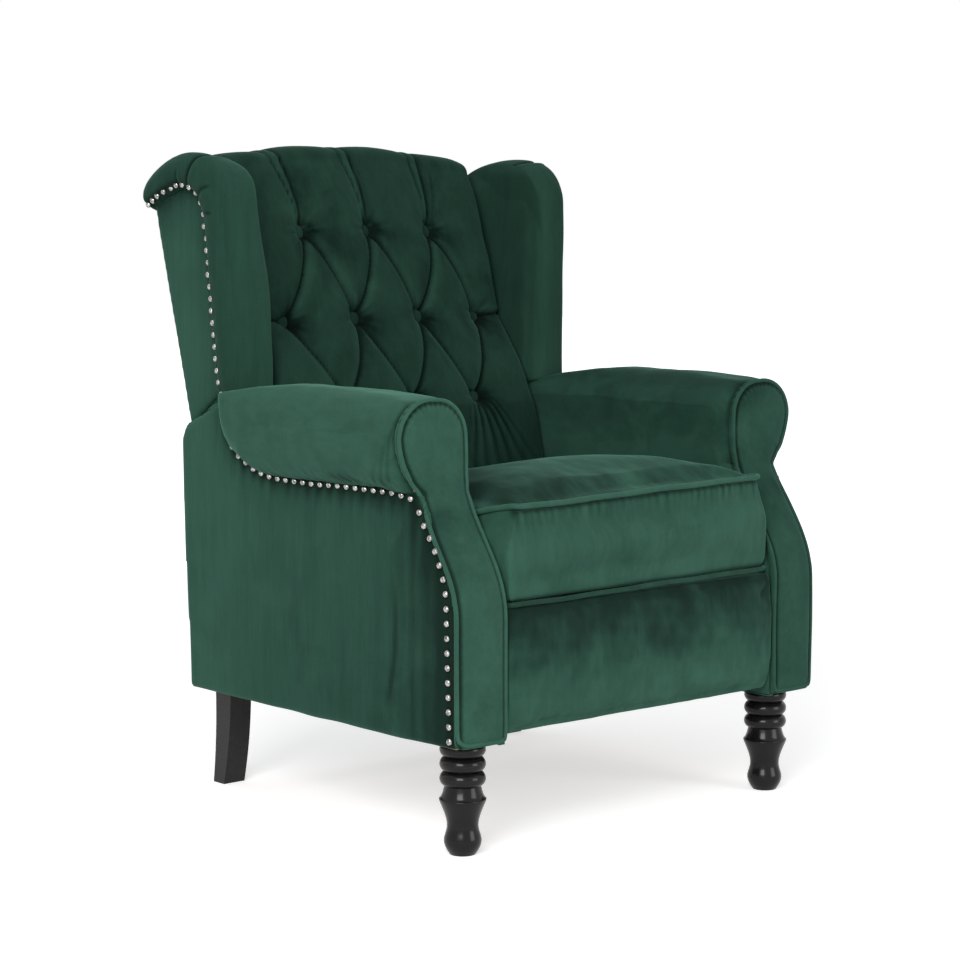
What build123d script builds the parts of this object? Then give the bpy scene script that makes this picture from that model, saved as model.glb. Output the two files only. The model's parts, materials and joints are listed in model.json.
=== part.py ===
from build123d import *
import math
import os

# A wingback recliner of the push-back kind: turned front legs, sabre rear legs, rolled arms with
# scroll fronts, a button-tufted back between two wings, and a footrest panel that swings out on links.
#
# All sizes are millimetres and the chair faces -Y. While it is drawn, depths (y) are measured back from
# the axis of the front legs and heights (z) up from the tops of the legs. The finished chair is moved so
# that it stands on z = 0 with the middle of its plan at the origin.
# The right-hand pieces are drawn (X above 0) and mirrored for the left.

# ------------------------------------------------------------------ driving sizes: legs
LEG_HEIGHT = 154.0
FRONT_LEG_INSET = 37.0
FRONT_LEG_RING_RADIUS = 31.6
FRONT_LEG_RINGS = 3
FRONT_LEG_RING_PITCH = 20.0
FRONT_LEG_NECK_RADIUS = 25.0
# The vase of a front leg: radius, and share of the height up to the lowest ring.
FRONT_LEG_VASE = ((17.8, 0.0), (25.7, 0.2106), (21.5, 0.4106), (32.3, 0.8085), (FRONT_LEG_NECK_RADIUS, 1.0))
REAR_LEG_REACH = 41.0
REAR_LEG_WIDTH = 38.0
REAR_LEG_FRONT_Y = 534.0
REAR_LEG_TOP_DEPTH = 39.0
REAR_LEG_FOOT_DEPTH = 27.0
REAR_LEG_SWEEP = 20.0
LEG_BOLT_DIAMETER = 8.0
LEG_BOLT_REACH = 45.0
BOLT_CLEARANCE = 0.2

# ------------------------------------------------------------------ driving sizes: arms
ARM_INNER_X = 262.0
ARM_THICKNESS = 87.0
ARM_FRONT_Y = -50.0
ARM_REAR_Y = 570.0
ARM_LEAN_BACK = 84.0
FACING_THICKNESS = 12.0
FACING_KNEE_Z = 166.0
FACING_THROAT_Z = 391.0
PANEL_THICKNESS = 6.0
PLANK_THICKNESS = 22.0
MECHANISM_BOARD_THICKNESS = 27.0
MECHANISM_BOARD_TOP_Z = 146.0
POST_DEPTH = 48.0
INNER_PAD_PROUD = 4.5
INNER_PAD_BOTTOM_Z = 149.0
ROLL_SEAM_Z = 333.0
ROLL_MIDDLE_Z = 411.0
ROLL_TOP_Z = 468.0
ROLL_TOP_INSET = 55.0
ROLL_OVERHANG = 36.0
ROLL_INNER_LAP = 8.0
ARM_RAIL_TOP_Z = 391.0
ARM_RAIL_HEIGHT = 45.0
ARM_RAIL_END = 65.0
INNER_PAD_LAP = 20.0
ROLL_SEAM_DEPTH = 365.0
ROLL_TAPER_DEPTH = 190.0
ROLL_TAIL = 22.0
REAR_RAIL_HEIGHT = 90.0
REAR_RAIL_THICKNESS = 22.0
MIDDLE_RAIL_Y = 300.0
MIDDLE_RAIL_WIDTH = 45.0
SOFT_GAP = 0.3

# ------------------------------------------------------------------ driving sizes: back
BACK_SLOPE = 0.31
BACK_FOOT_Y = 520.7
HINGE_LEVEL_Z = 146.0
BACK_RISE = 687.0
BACK_ARCH = 21.0
BACK_CLEARANCE = 6.0
BACK_FRAME_DEPTH = 32.0
BACK_POST_INSET = 6.5
BACK_POST_WIDTH = 40.0
BACK_POST_FOOT = -18.0
BACK_POST_TOP = 640.0
BACK_RAIL_HEIGHT = 50.0
BACK_CUSHION_FOOT = 27.0
HINGE_DEPTH = 22.0
HINGE_STRAP_LENGTH = 120.0
BUTTON_PITCH = 126.0
BUTTON_RADIUS = 11.0
BUTTON_RISE = 6.0
BUTTON_SINK = 20.0
TUFT_RADIUS = 26.0
PLEAT_DEPTH = 8.0
PLEAT_HALF_WIDTH = 8.0
BUTTON_ROW_UPS = (522.7, 382.0, 231.8)
STRAP_THICKNESS = 1.5
STRAP_WIDTH = 50.0

# ------------------------------------------------------------------ driving sizes: wings
WING_GAP = 4.0
WING_THICKNESS = 71.5
WING_FRAME_THICKNESS = 18.0
WING_FRONT_Y = 466.0
WING_BROW_LEAN = 11.0
WING_FOOT_DROP = 13.0
WING_TOP_Z = 796.0
WING_EDGE_RADIUS = 26.0

# ------------------------------------------------------------------ driving sizes: seat and footrest
SEAT_FRONT_Y = -45.0
SEAT_REAR_Y = 436.0
SEAT_CLEARANCE = 2.0
SEAT_FRAME_BOTTOM_Z = 146.0
SEAT_FRAME_TOP_Z = 183.0
SEAT_EDGE_Z = 322.0
SEAT_CROWN = 28.0
SEAT_BULGE = 4.0
SEAT_RAIL_WIDTH = 40.0
SEAT_FRONT_RAIL_Y = 14.0
SEAT_REAR_RAIL_Y = 430.0
FOOTREST_CLEARANCE = 5.0
FOOTREST_BOTTOM_Z = 10.0
FOOTREST_TOP_Z = 181.0
FOOTREST_PAD_DEPTH = 43.0
FOOTREST_BOARD_THICKNESS = 12.0
FOOTREST_BOARD_MARGIN = 12.0
FOOTREST_CORNER = 14.0
FOOTREST_CROWN = 9.0

# ------------------------------------------------------------------ driving sizes: mechanism
PLATE_THICKNESS = 3.0
LANE_GAP = 1.5
LINK_HALF_WIDTH = 10.0
RIVET_DIAMETER = 8.0
RIVET_CLEARANCE = 0.2
RIVET_HEAD = 1.0
OPEN_PIVOT_GAP = 0.3
SWING_LENGTH = 70.0
SWING_LEAN = 45.0
SWING_FRONT_Y = 130.0
SWING_REAR_Y = 400.0
SWING_PIVOT_Z = 46.0
TORQUE_TUBE_DIAMETER = 16.0
TORQUE_TUBE_WALL = 1.5
RAIL_SCREW_DIAMETER = 5.0
RAIL_SCREW_REACH = 16.0

# Pivots of the footrest linkage, folded, as (depth, height).
LIFT_PIVOT = (93.7, 96.3)
CROSS_PIVOT = (44.4, 128.2)
ELBOW_PIVOT = (207.8, 34.0)
TIP_PIVOT = (180.9, 33.9)
PANEL_UPPER_PIVOT = (34.0, 108.0)
PANEL_LOWER_PIVOT = (34.0, 50.0)
SCISSOR_PIVOT = (155.5, 57.6)

# ------------------------------------------------------------------ worked-out places
RAKE_LENGTH = math.hypot(1.0, BACK_SLOPE)
RAKE = Plane(origin=(0, BACK_FOOT_Y, HINGE_LEVEL_Z), x_dir=(1, 0, 0), z_dir=(0, -1, BACK_SLOPE))
FRAME_FRONT_DEPTH = PANEL_THICKNESS + BACK_FRAME_DEPTH
CUSHION_BACK_DEPTH = FRAME_FRONT_DEPTH + STRAP_THICKNESS + SOFT_GAP
HINGE = RAKE.from_local_coords(Vector(0, 0, HINGE_DEPTH))
HINGE_POINT = (HINGE.Y, HINGE.Z)
FRONT_LEG_X = ARM_INNER_X + FRONT_LEG_INSET
REAR_LEG_OUTER_X = ARM_INNER_X + REAR_LEG_REACH
ARM_OUTER_X = ARM_INNER_X + ARM_THICKNESS
ROLL_TOP_X = ARM_INNER_X + ROLL_TOP_INSET
ROLL_OUTER_X = ARM_OUTER_X + ROLL_OVERHANG
ROLL_INNER_X = ARM_INNER_X - ROLL_INNER_LAP
SEAT_HALF_WIDTH = ARM_INNER_X - INNER_PAD_PROUD - SEAT_CLEARANCE
FOOTREST_HALF_WIDTH = ARM_INNER_X - FOOTREST_CLEARANCE
BACK_HALF_WIDTH = ARM_INNER_X - INNER_PAD_PROUD - BACK_CLEARANCE
BACK_POST_OUTER_X = BACK_HALF_WIDTH - BACK_POST_INSET
POST_INNER_X = ARM_INNER_X + MECHANISM_BOARD_THICKNESS
POST_OUTER_X = ARM_OUTER_X - PANEL_THICKNESS
ARM_FRAME_FRONT_Y = ARM_FRONT_Y + FACING_THICKNESS
ARM_FRAME_REAR_Y = ARM_REAR_Y - PANEL_THICKNESS
INNER_PAD_TOP_Z = ARM_RAIL_TOP_Z - ARM_RAIL_HEIGHT + INNER_PAD_LAP
LANE_PITCH = PLATE_THICKNESS + LANE_GAP
LANE_RAIL = ARM_INNER_X - PLATE_THICKNESS
LANE_SWING = LANE_RAIL - LANE_PITCH
LANE_SEAT = LANE_SWING - LANE_PITCH
LANE_LIFT = LANE_SEAT - LANE_PITCH
LANE_LONG = LANE_LIFT - LANE_PITCH
LANE_CROSS = LANE_LONG - LANE_PITCH
LANE_TIP = LANE_CROSS - LANE_PITCH
LANE_BACK = BACK_POST_OUTER_X
SWING_RISE = SWING_LENGTH * math.cos(math.radians(SWING_LEAN))
SWING_BACK = SWING_LENGTH * math.sin(math.radians(SWING_LEAN))
SEAT_FRAME_HALF_WIDTH = LANE_SEAT
WING_INNER_X = BACK_HALF_WIDTH + WING_GAP
WING_OUTER_X = WING_INNER_X + WING_THICKNESS
WING_HEIGHT = WING_TOP_Z - ROLL_TOP_Z
REAR_OVERHANG_Y = BACK_FOOT_Y + BACK_SLOPE * (BACK_RISE - BACK_ARCH) / RAKE_LENGTH
PLAN_MIDDLE_Y = (ARM_FRONT_Y + REAR_OVERHANG_Y) / 2
PLACE = Pos(0, -PLAN_MIDDLE_Y, LEG_HEIGHT)


# ------------------------------------------------------------------ drawing helpers
def block(x0, x1, y0, y1, z0, z1):
    """A box between three pairs of limits."""
    return Pos((x0 + x1) / 2, (y0 + y1) / 2, (z0 + z1) / 2) * Box(x1 - x0, y1 - y0, z1 - z0)


def side_slab(outline, x0, x1):
    """A side-view outline, drawn as (depth, height), made solid from x0 to x1."""
    return Plane.YZ.offset(x0) * extrude(outline, amount=x1 - x0)


def front_slab(outline, y0, y1):
    """A front-view outline, drawn as (x, height), made solid from y0 to y1."""
    return Plane.XZ.offset(-y1) * extrude(outline, amount=y1 - y0)


def rake_block(x0, x1, up0, up1, depth0, depth1):
    """A box that lies along the raked back."""
    return RAKE * block(x0, x1, up0, up1, depth0, depth1)


def across(x0, x1, point, diameter):
    """A round bar along X from x0 to x1 through a (depth, height) point."""
    bar = Cylinder(diameter / 2, x1 - x0, rotation=(0, 90, 0))
    return Pos((x0 + x1) / 2, point[0], point[1]) * bar


def left_of(right):
    """The left-hand copy of a right-hand piece."""
    return mirror(right, about=Plane.YZ)


def both(right):
    """A right-hand piece and its left-hand copy."""
    return [right, left_of(right)]


# ------------------------------------------------------------------ legs
def front_leg():
    """A turned leg: a vase foot under a stack of rings."""
    ring_foot = LEG_HEIGHT - FRONT_LEG_RINGS * FRONT_LEG_RING_PITCH
    points = [(radius, share * ring_foot) for radius, share in FRONT_LEG_VASE]
    vase = Spline(*points, tangents=((0.6, 0.8), (-0.2, 1.0)))
    edges = [Line((0, 0), points[0]), vase]
    radius = FRONT_LEG_NECK_RADIUS
    for ring in range(FRONT_LEG_RINGS):
        low = ring_foot + ring * FRONT_LEG_RING_PITCH
        high = low + FRONT_LEG_RING_PITCH
        middle = (FRONT_LEG_RING_RADIUS, (low + high) / 2)
        edges.append(ThreePointArc((radius, low), middle, (radius, high)))
    edges += [Line((radius, LEG_HEIGHT), (0, LEG_HEIGHT)), Line((0, LEG_HEIGHT), (0, 0))]
    turned = revolve(Plane.XZ * make_face(edges), axis=Axis.Z)
    return Pos(FRONT_LEG_X, 0, -LEG_HEIGHT) * turned - leg_bolt_hole(FRONT_LEG_X, 0)


def rear_leg():
    """A square leg whose foot sweeps backward."""
    top_rear = REAR_LEG_FRONT_Y + REAR_LEG_TOP_DEPTH
    foot_front = REAR_LEG_FRONT_Y + REAR_LEG_SWEEP
    foot_rear = foot_front + REAR_LEG_FOOT_DEPTH
    knee_z = LEG_HEIGHT * 0.45
    outline = make_face([
        Line((REAR_LEG_FRONT_Y, LEG_HEIGHT), (top_rear, LEG_HEIGHT)),
        ThreePointArc((top_rear, LEG_HEIGHT), (top_rear + REAR_LEG_SWEEP / 20, knee_z), (foot_rear, 0)),
        Line((foot_rear, 0), (foot_front, 0)),
        ThreePointArc(
            (foot_front, 0), (REAR_LEG_FRONT_Y + 0.3 * REAR_LEG_SWEEP, knee_z), (REAR_LEG_FRONT_Y, LEG_HEIGHT)
        ),
    ])
    leg = Pos(0, 0, -LEG_HEIGHT) * side_slab(outline, REAR_LEG_OUTER_X - REAR_LEG_WIDTH, REAR_LEG_OUTER_X)
    x, y = rear_bolt_place()
    return leg - leg_bolt_hole(x, y)


def rear_bolt_place():
    """Where the rear leg's bolt stands."""
    return REAR_LEG_OUTER_X - REAR_LEG_WIDTH / 2, REAR_LEG_FRONT_Y + REAR_LEG_TOP_DEPTH / 2


def leg_bolt_hole(x, y):
    """The hole for a leg bolt, through the plank and down into the leg."""
    reach = LEG_BOLT_REACH + PLANK_THICKNESS
    hole = Cylinder(LEG_BOLT_DIAMETER / 2 + BOLT_CLEARANCE, reach)
    return Pos(x, y, PLANK_THICKNESS - reach / 2) * hole


def leg_bolts():
    """Four bolts that hold the legs to the planks, with the ends flush in the planks."""
    reach = LEG_BOLT_REACH + PLANK_THICKNESS
    bolts = []
    for x, y in ((FRONT_LEG_X, 0.0), rear_bolt_place()):
        bolts += both(Pos(x, y, PLANK_THICKNESS - reach / 2) * Cylinder(LEG_BOLT_DIAMETER / 2, reach))
    return bolts


# ------------------------------------------------------------------ arms
def scroll_curve(set_back):
    """The S-curve of the arm's front in side view, moved back by set_back."""
    front = ARM_FRONT_Y + set_back
    throat = front + ARM_LEAN_BACK
    rise = FACING_THROAT_Z - FACING_KNEE_Z
    knee = Line((front, 0), (front, FACING_KNEE_Z))
    sweep_back = Spline(
        (front, FACING_KNEE_Z),
        (front + 0.3452 * ARM_LEAN_BACK, FACING_KNEE_Z + 0.3778 * rise),
        (front + 0.8333 * ARM_LEAN_BACK, FACING_KNEE_Z + 0.6667 * rise),
        (throat, FACING_THROAT_Z),
        tangents=((0, 1), (0, 1)),
    )
    head = Line((throat, FACING_THROAT_Z), (throat, ROLL_TOP_Z))
    return [knee, sweep_back, head]


def roll_arcs():
    """The outer side, top and inner side of the rolled arm in front view, from the seam round."""
    outer = ThreePointArc(
        (ARM_OUTER_X, ROLL_SEAM_Z), (ROLL_OUTER_X - 11, ROLL_MIDDLE_Z - 45), (ROLL_OUTER_X, ROLL_MIDDLE_Z)
    )
    crown = ThreePointArc(
        (ROLL_OUTER_X, ROLL_MIDDLE_Z), (ROLL_OUTER_X - 19, ROLL_TOP_Z - 15), (ROLL_TOP_X, ROLL_TOP_Z)
    )
    inner = ThreePointArc(
        (ROLL_TOP_X, ROLL_TOP_Z), (ROLL_INNER_X + 17, ROLL_TOP_Z - 18), (ROLL_INNER_X, ROLL_MIDDLE_Z)
    )
    return [outer, crown, inner]


def arm_facing():
    """The scroll-shaped front board of an arm, bent to the S-curve."""
    front_view = make_face(roll_arcs() + [
        ThreePointArc(
            (ROLL_INNER_X, ROLL_MIDDLE_Z), (ROLL_INNER_X + 2, ROLL_MIDDLE_Z - 40), (ARM_INNER_X, ROLL_SEAM_Z)
        ),
        Polyline((ARM_INNER_X, ROLL_SEAM_Z), (ARM_INNER_X, 0), (ARM_OUTER_X, 0), (ARM_OUTER_X, ROLL_SEAM_Z)),
    ])
    front = ARM_FRONT_Y
    throat = front + ARM_LEAN_BACK
    band = make_face(scroll_curve(0) + scroll_curve(FACING_THICKNESS) + [
        Line((front, 0), (front + FACING_THICKNESS, 0)),
        Line((throat, ROLL_TOP_Z), (throat + FACING_THICKNESS, ROLL_TOP_Z)),
    ])
    bent = side_slab(band, ROLL_INNER_X - 5, ROLL_OUTER_X + 5)
    return bent & front_slab(front_view, front - 5, throat + 2 * FACING_THICKNESS)


def shoulder_z():
    """The height of the rear edge of the arm's shoulder."""
    return ROLL_TOP_Z - 97


def side_outline(set_back):
    """The side view of the arm behind its facing, up to the seam under the roll."""
    front = ARM_FRONT_Y + set_back
    curve = scroll_curve(set_back)
    seam_y = curve[1] @ 0.72
    trimmed = curve[1].trim(0, 0.72)
    shoulder_start = (ARM_REAR_Y - 84, ROLL_TOP_Z - 44)
    shoulder_end = (ARM_REAR_Y, shoulder_z())
    top = Spline(
        (seam_y.X, seam_y.Y), (ARM_REAR_Y - ROLL_SEAM_DEPTH, ROLL_SEAM_Z),
        (ARM_REAR_Y - ROLL_TAPER_DEPTH, ROLL_SEAM_Z + 2), (ARM_REAR_Y - 120, ROLL_TOP_Z - 100),
        shoulder_start,
    )
    return make_face([
        Line((front, 0), (front, FACING_KNEE_Z)),
        trimmed, top,
        ThreePointArc(shoulder_start, (ARM_REAR_Y - 25, ROLL_TOP_Z - 59), shoulder_end),
        Polyline(shoulder_end, (ARM_REAR_Y, 0), (front, 0)),
    ])


def arm_outer_panel():
    """The thin panel on the outside of an arm, below the nailed seam, with its return across the rear."""
    side = side_slab(side_outline(FACING_THICKNESS), POST_OUTER_X, ARM_OUTER_X)
    return side + block(ARM_INNER_X, POST_OUTER_X + 1, ARM_FRAME_REAR_Y, ARM_REAR_Y, 0, shoulder_z())


def arm_base_plank():
    """The plank under an arm, which the legs are bolted to."""
    plank = block(ARM_INNER_X, POST_OUTER_X, ARM_FRAME_FRONT_Y, ARM_FRAME_REAR_Y, 0, PLANK_THICKNESS)
    x, y = rear_bolt_place()
    return plank - leg_bolt_hole(FRONT_LEG_X, 0) - leg_bolt_hole(x, y)


def mechanism_board():
    """The board inside an arm that carries the steel rail."""
    board = block(
        ARM_INNER_X, POST_INNER_X, ARM_FRAME_FRONT_Y, ARM_FRAME_REAR_Y, PLANK_THICKNESS, MECHANISM_BOARD_TOP_Z
    )
    for point in rail_screw_places():
        board -= across(ARM_INNER_X, ARM_INNER_X + RAIL_SCREW_REACH, point, RAIL_SCREW_DIAMETER)
    return board


def arm_front_post():
    """The front post of an arm, sawn to the S-curve of the facing."""
    front = ARM_FRAME_FRONT_Y
    throat = front + ARM_LEAN_BACK
    bend_z = (FACING_KNEE_Z + FACING_THROAT_Z) / 2
    outline = make_face(scroll_curve(FACING_THICKNESS) + [
        Polyline(
            (throat, ROLL_TOP_Z), (throat + POST_DEPTH, ROLL_TOP_Z), (throat + POST_DEPTH, bend_z),
            (front + POST_DEPTH, FACING_KNEE_Z), (front + POST_DEPTH, 0), (front, 0),
        ),
    ])
    post = side_slab(outline, POST_INNER_X, POST_OUTER_X)
    return post & block(0, ARM_OUTER_X, front, throat + POST_DEPTH, PLANK_THICKNESS, ARM_RAIL_TOP_Z)


def arm_rear_post():
    """The rear post of an arm."""
    return block(
        POST_INNER_X, POST_OUTER_X, ARM_FRAME_REAR_Y - POST_DEPTH, ARM_FRAME_REAR_Y,
        PLANK_THICKNESS, ARM_RAIL_TOP_Z - ARM_RAIL_HEIGHT,
    )


def arm_top_rail():
    """The rail inside the rolled arm, from the front post to over the rear post."""
    start = ARM_FRAME_FRONT_Y + ARM_LEAN_BACK + POST_DEPTH
    end = ARM_REAR_Y - ARM_RAIL_END
    return block(POST_INNER_X, POST_OUTER_X, start, end, ARM_RAIL_TOP_Z - ARM_RAIL_HEIGHT, ARM_RAIL_TOP_Z)


def arm_inner_pad():
    """The padding on the inside of an arm, above the mechanism board."""
    front, rear = ARM_FRAME_FRONT_Y, ARM_FRAME_REAR_Y
    outline = make_face(scroll_curve(FACING_THICKNESS) + [
        Polyline((front + ARM_LEAN_BACK, ROLL_TOP_Z), (rear, ROLL_TOP_Z), (rear, 0), (front, 0)),
    ])
    pad = side_slab(outline, ARM_INNER_X - INNER_PAD_PROUD, POST_INNER_X)
    return pad & block(0, ARM_OUTER_X, front, rear, INNER_PAD_BOTTOM_Z, INNER_PAD_TOP_Z)


def arm_roll_pad():
    """The rolled padding over the arm rail; it thins out into the side panel at the rear."""
    start = ARM_FRAME_FRONT_Y + ARM_LEAN_BACK
    end = ARM_REAR_Y - ROLL_TAIL
    low = INNER_PAD_BOTTOM_Z
    inner_face = ARM_INNER_X - INNER_PAD_PROUD
    section = make_face(roll_arcs() + [
        Polyline(
            (ROLL_INNER_X, ROLL_MIDDLE_Z), (inner_face, INNER_PAD_TOP_Z), (POST_INNER_X, INNER_PAD_TOP_Z),
            (POST_INNER_X, ARM_RAIL_TOP_Z), (POST_OUTER_X, ARM_RAIL_TOP_Z), (POST_OUTER_X, ROLL_SEAM_Z),
            (ARM_OUTER_X, ROLL_SEAM_Z),
        ),
    ])
    head, tail = (start, ROLL_TOP_Z - 8), (end, ROLL_TOP_Z - 62)
    side = make_face([
        Line((start, low), head),
        Spline(
            head, (ARM_REAR_Y - ROLL_SEAM_DEPTH, ROLL_TOP_Z), (ARM_REAR_Y - ROLL_TAPER_DEPTH, ROLL_TOP_Z - 5),
            (ARM_REAR_Y - 100, ROLL_TOP_Z - 21), tail, tangents=((1, 0.1), (0.6, -0.8)),
        ),
        Polyline(tail, (end, low), (start, low)),
    ])
    taper, tip = (ROLL_OUTER_X, ARM_REAR_Y - ROLL_TAPER_DEPTH - 20), (ARM_OUTER_X + 1, end)
    plan = make_face([
        Spline(taper, (ROLL_OUTER_X - 10, ARM_REAR_Y - 120), tip, tangents=((0, 1), (-0.4, 1))),
        Polyline(tip, (0, end), (0, start), (ROLL_OUTER_X, start), taper),
    ])
    roll = front_slab(section, start, end) & side_slab(side, 0, ROLL_OUTER_X)
    roll &= Pos(0, 0, low) * extrude(plan, amount=ROLL_TOP_Z - low)
    return roll - side_slab(side_outline(FACING_THICKNESS), POST_OUTER_X, ROLL_OUTER_X)


# ------------------------------------------------------------------ base cross rails
def rear_rail():
    """The rail that joins the two arms at the rear."""
    rear = ARM_FRAME_REAR_Y
    return block(-ARM_INNER_X, ARM_INNER_X, rear - REAR_RAIL_THICKNESS, rear, 0, REAR_RAIL_HEIGHT)


def middle_rail():
    """The flat rail that joins the two base planks behind the folded links."""
    rear = MIDDLE_RAIL_Y + MIDDLE_RAIL_WIDTH
    return block(-ARM_INNER_X, ARM_INNER_X, MIDDLE_RAIL_Y, rear, 0, PLANK_THICKNESS)


# ------------------------------------------------------------------ mechanism on the base
def swing_pivots():
    """The lower pivots of the swing links."""
    return ((SWING_FRONT_Y, SWING_PIVOT_Z), (SWING_REAR_Y, SWING_PIVOT_Z))


def swing_top(pivot):
    """The upper pivot of a swing link at rest, leaning back."""
    return (pivot[0] + SWING_BACK, pivot[1] + SWING_RISE)


def rail_screw_places():
    """Four screws along the steel rail, clear of the swing links."""
    span = SWING_REAR_Y - SWING_FRONT_Y
    return [(SWING_FRONT_Y + span * share, SWING_PIVOT_Z) for share in (0.32, 0.46, 0.6, 0.74)]


def mechanism_rail():
    """The steel rail that carries the swing links, with holes for its screws."""
    length = SWING_REAR_Y - SWING_FRONT_Y
    middle = (SWING_FRONT_Y + SWING_REAR_Y) / 2
    outline = Pos(middle, SWING_PIVOT_Z) * SlotCenterToCenter(length, 3 * LINK_HALF_WIDTH)
    rail = side_slab(outline, LANE_RAIL, LANE_RAIL + PLATE_THICKNESS)
    for point in swing_pivots():
        rail -= rivet_hole(LANE_RAIL, point)
    for point in rail_screw_places():
        rail -= across(LANE_RAIL, ARM_INNER_X, point, 2 * RAIL_SCREW_DIAMETER)
    return rail


def rail_screws():
    """Screws whose flat heads sit flush in the steel rail."""
    screws = []
    for point in rail_screw_places():
        head = across(LANE_RAIL, ARM_INNER_X, point, 2 * RAIL_SCREW_DIAMETER - 2 * RIVET_CLEARANCE)
        shank = across(ARM_INNER_X, ARM_INNER_X + RAIL_SCREW_REACH, point, RAIL_SCREW_DIAMETER)
        screws += both(head + shank)
    return screws


def rivet_hole(lane, point):
    """The hole for a rivet through one plate."""
    return across(lane - 1, lane + PLATE_THICKNESS + 1, point, RIVET_DIAMETER + 2 * RIVET_CLEARANCE)


def rivet(outer_lane, inner_lane, point):
    """A rivet, flush outside, through the plate in outer_lane to a head inside the one in inner_lane."""
    shank = across(inner_lane - RIVET_CLEARANCE, outer_lane + PLATE_THICKNESS, point, RIVET_DIAMETER)
    head = across(
        inner_lane - RIVET_CLEARANCE - RIVET_HEAD, inner_lane - RIVET_CLEARANCE, point, 1.5 * RIVET_DIAMETER
    )
    return shank + head


def link(lane, start, end, others=()):
    """A flat link with round ends between two pivots, drilled there and at any others."""
    length = math.hypot(end[0] - start[0], end[1] - start[1])
    angle = math.degrees(math.atan2(end[1] - start[1], end[0] - start[0]))
    middle = ((start[0] + end[0]) / 2, (start[1] + end[1]) / 2)
    outline = Pos(*middle) * Rot(0, 0, angle) * SlotCenterToCenter(length, 2 * LINK_HALF_WIDTH)
    bar = side_slab(outline, lane, lane + PLATE_THICKNESS)
    for point in (start, end, *others):
        bar -= rivet_hole(lane, point)
    return bar


def tube_place():
    """The point on the rear swing link where the torque tube is welded."""
    pivot = swing_pivots()[1]
    top = swing_top(pivot)
    return ((pivot[0] + top[0]) / 2, (pivot[1] + top[1]) / 2)


def torque_tube():
    """The tube that makes the two rear swing links turn together."""
    place = tube_place()
    tube = across(-LANE_SWING, LANE_SWING, place, TORQUE_TUBE_DIAMETER)
    return tube - across(-LANE_SWING, LANE_SWING, place, TORQUE_TUBE_DIAMETER - 2 * TORQUE_TUBE_WALL)


# ------------------------------------------------------------------ seat
def seat_side_plate():
    """The steel plate beside the seat frame, with a lobe at every pivot."""
    lobes = [CROSS_PIVOT, LIFT_PIVOT, swing_top(swing_pivots()[0]), swing_top(swing_pivots()[1]), HINGE_POINT]
    radius = 1.3 * LINK_HALF_WIDTH
    front = CROSS_PIVOT[0] - radius
    rear = HINGE_POINT[0]
    low = SEAT_FRAME_BOTTOM_Z - 4
    outline = Pos((front + rear) / 2, (low + SEAT_FRAME_TOP_Z - 6) / 2) * Rectangle(
        rear - front, SEAT_FRAME_TOP_Z - 6 - low
    )
    for point in lobes:
        foot = [(point[0] - 2.4 * radius, low), (point[0] + 2.4 * radius, low)]
        tip = [(point[0] + radius, point[1]), (point[0] - radius, point[1])]
        if point[1] < low and point[0] - 2.4 * radius > front:
            outline += make_face(Polyline(*foot, *tip, close=True))
        elif point[1] < low:
            outline += make_face(Polyline((front, low), foot[1], *tip, close=True))
        outline += Pos(*point) * Circle(radius)
    plate = side_slab(outline, LANE_SEAT, LANE_SEAT + PLATE_THICKNESS)
    for point in lobes:
        plate -= rivet_hole(LANE_SEAT, point)
    return plate


def seat_rivets():
    """The rivets held by the seat plates: swing links, footrest links and the back hinge."""
    rivets = []
    for pivot in swing_pivots():
        rivets += both(rivet(LANE_SWING, LANE_SEAT, swing_top(pivot)))
    rivets += both(rivet(LANE_SEAT, LANE_LIFT, LIFT_PIVOT))
    rivets += both(rivet(LANE_SEAT, LANE_CROSS, CROSS_PIVOT))
    rivets += both(across(LANE_BACK, LANE_SEAT + PLATE_THICKNESS, HINGE_POINT, RIVET_DIAMETER))
    return rivets


def seat_cross_rail(front_y):
    """The front or rear rail of the seat frame."""
    return block(
        -SEAT_FRAME_HALF_WIDTH, SEAT_FRAME_HALF_WIDTH, front_y, front_y + SEAT_RAIL_WIDTH,
        SEAT_FRAME_BOTTOM_Z, SEAT_FRAME_TOP_Z,
    )


def seat_side_rail():
    """A side rail between the front and rear rails."""
    return block(
        SEAT_FRAME_HALF_WIDTH - SEAT_RAIL_WIDTH, SEAT_FRAME_HALF_WIDTH, SEAT_FRONT_RAIL_Y + SEAT_RAIL_WIDTH,
        SEAT_REAR_RAIL_Y, SEAT_FRAME_BOTTOM_Z, SEAT_FRAME_TOP_Z,
    )


def seat_webbing():
    """Five straps from the front rail to the rear rail."""
    straps = []
    for place in range(-2, 3):
        x = place * 1.6 * STRAP_WIDTH
        straps.append(block(
            x - STRAP_WIDTH / 2, x + STRAP_WIDTH / 2,
            SEAT_FRONT_RAIL_Y + SEAT_RAIL_WIDTH / 8, SEAT_REAR_RAIL_Y + SEAT_RAIL_WIDTH / 2,
            SEAT_FRAME_TOP_Z, SEAT_FRAME_TOP_Z + STRAP_THICKNESS,
        ))
    return straps


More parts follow.
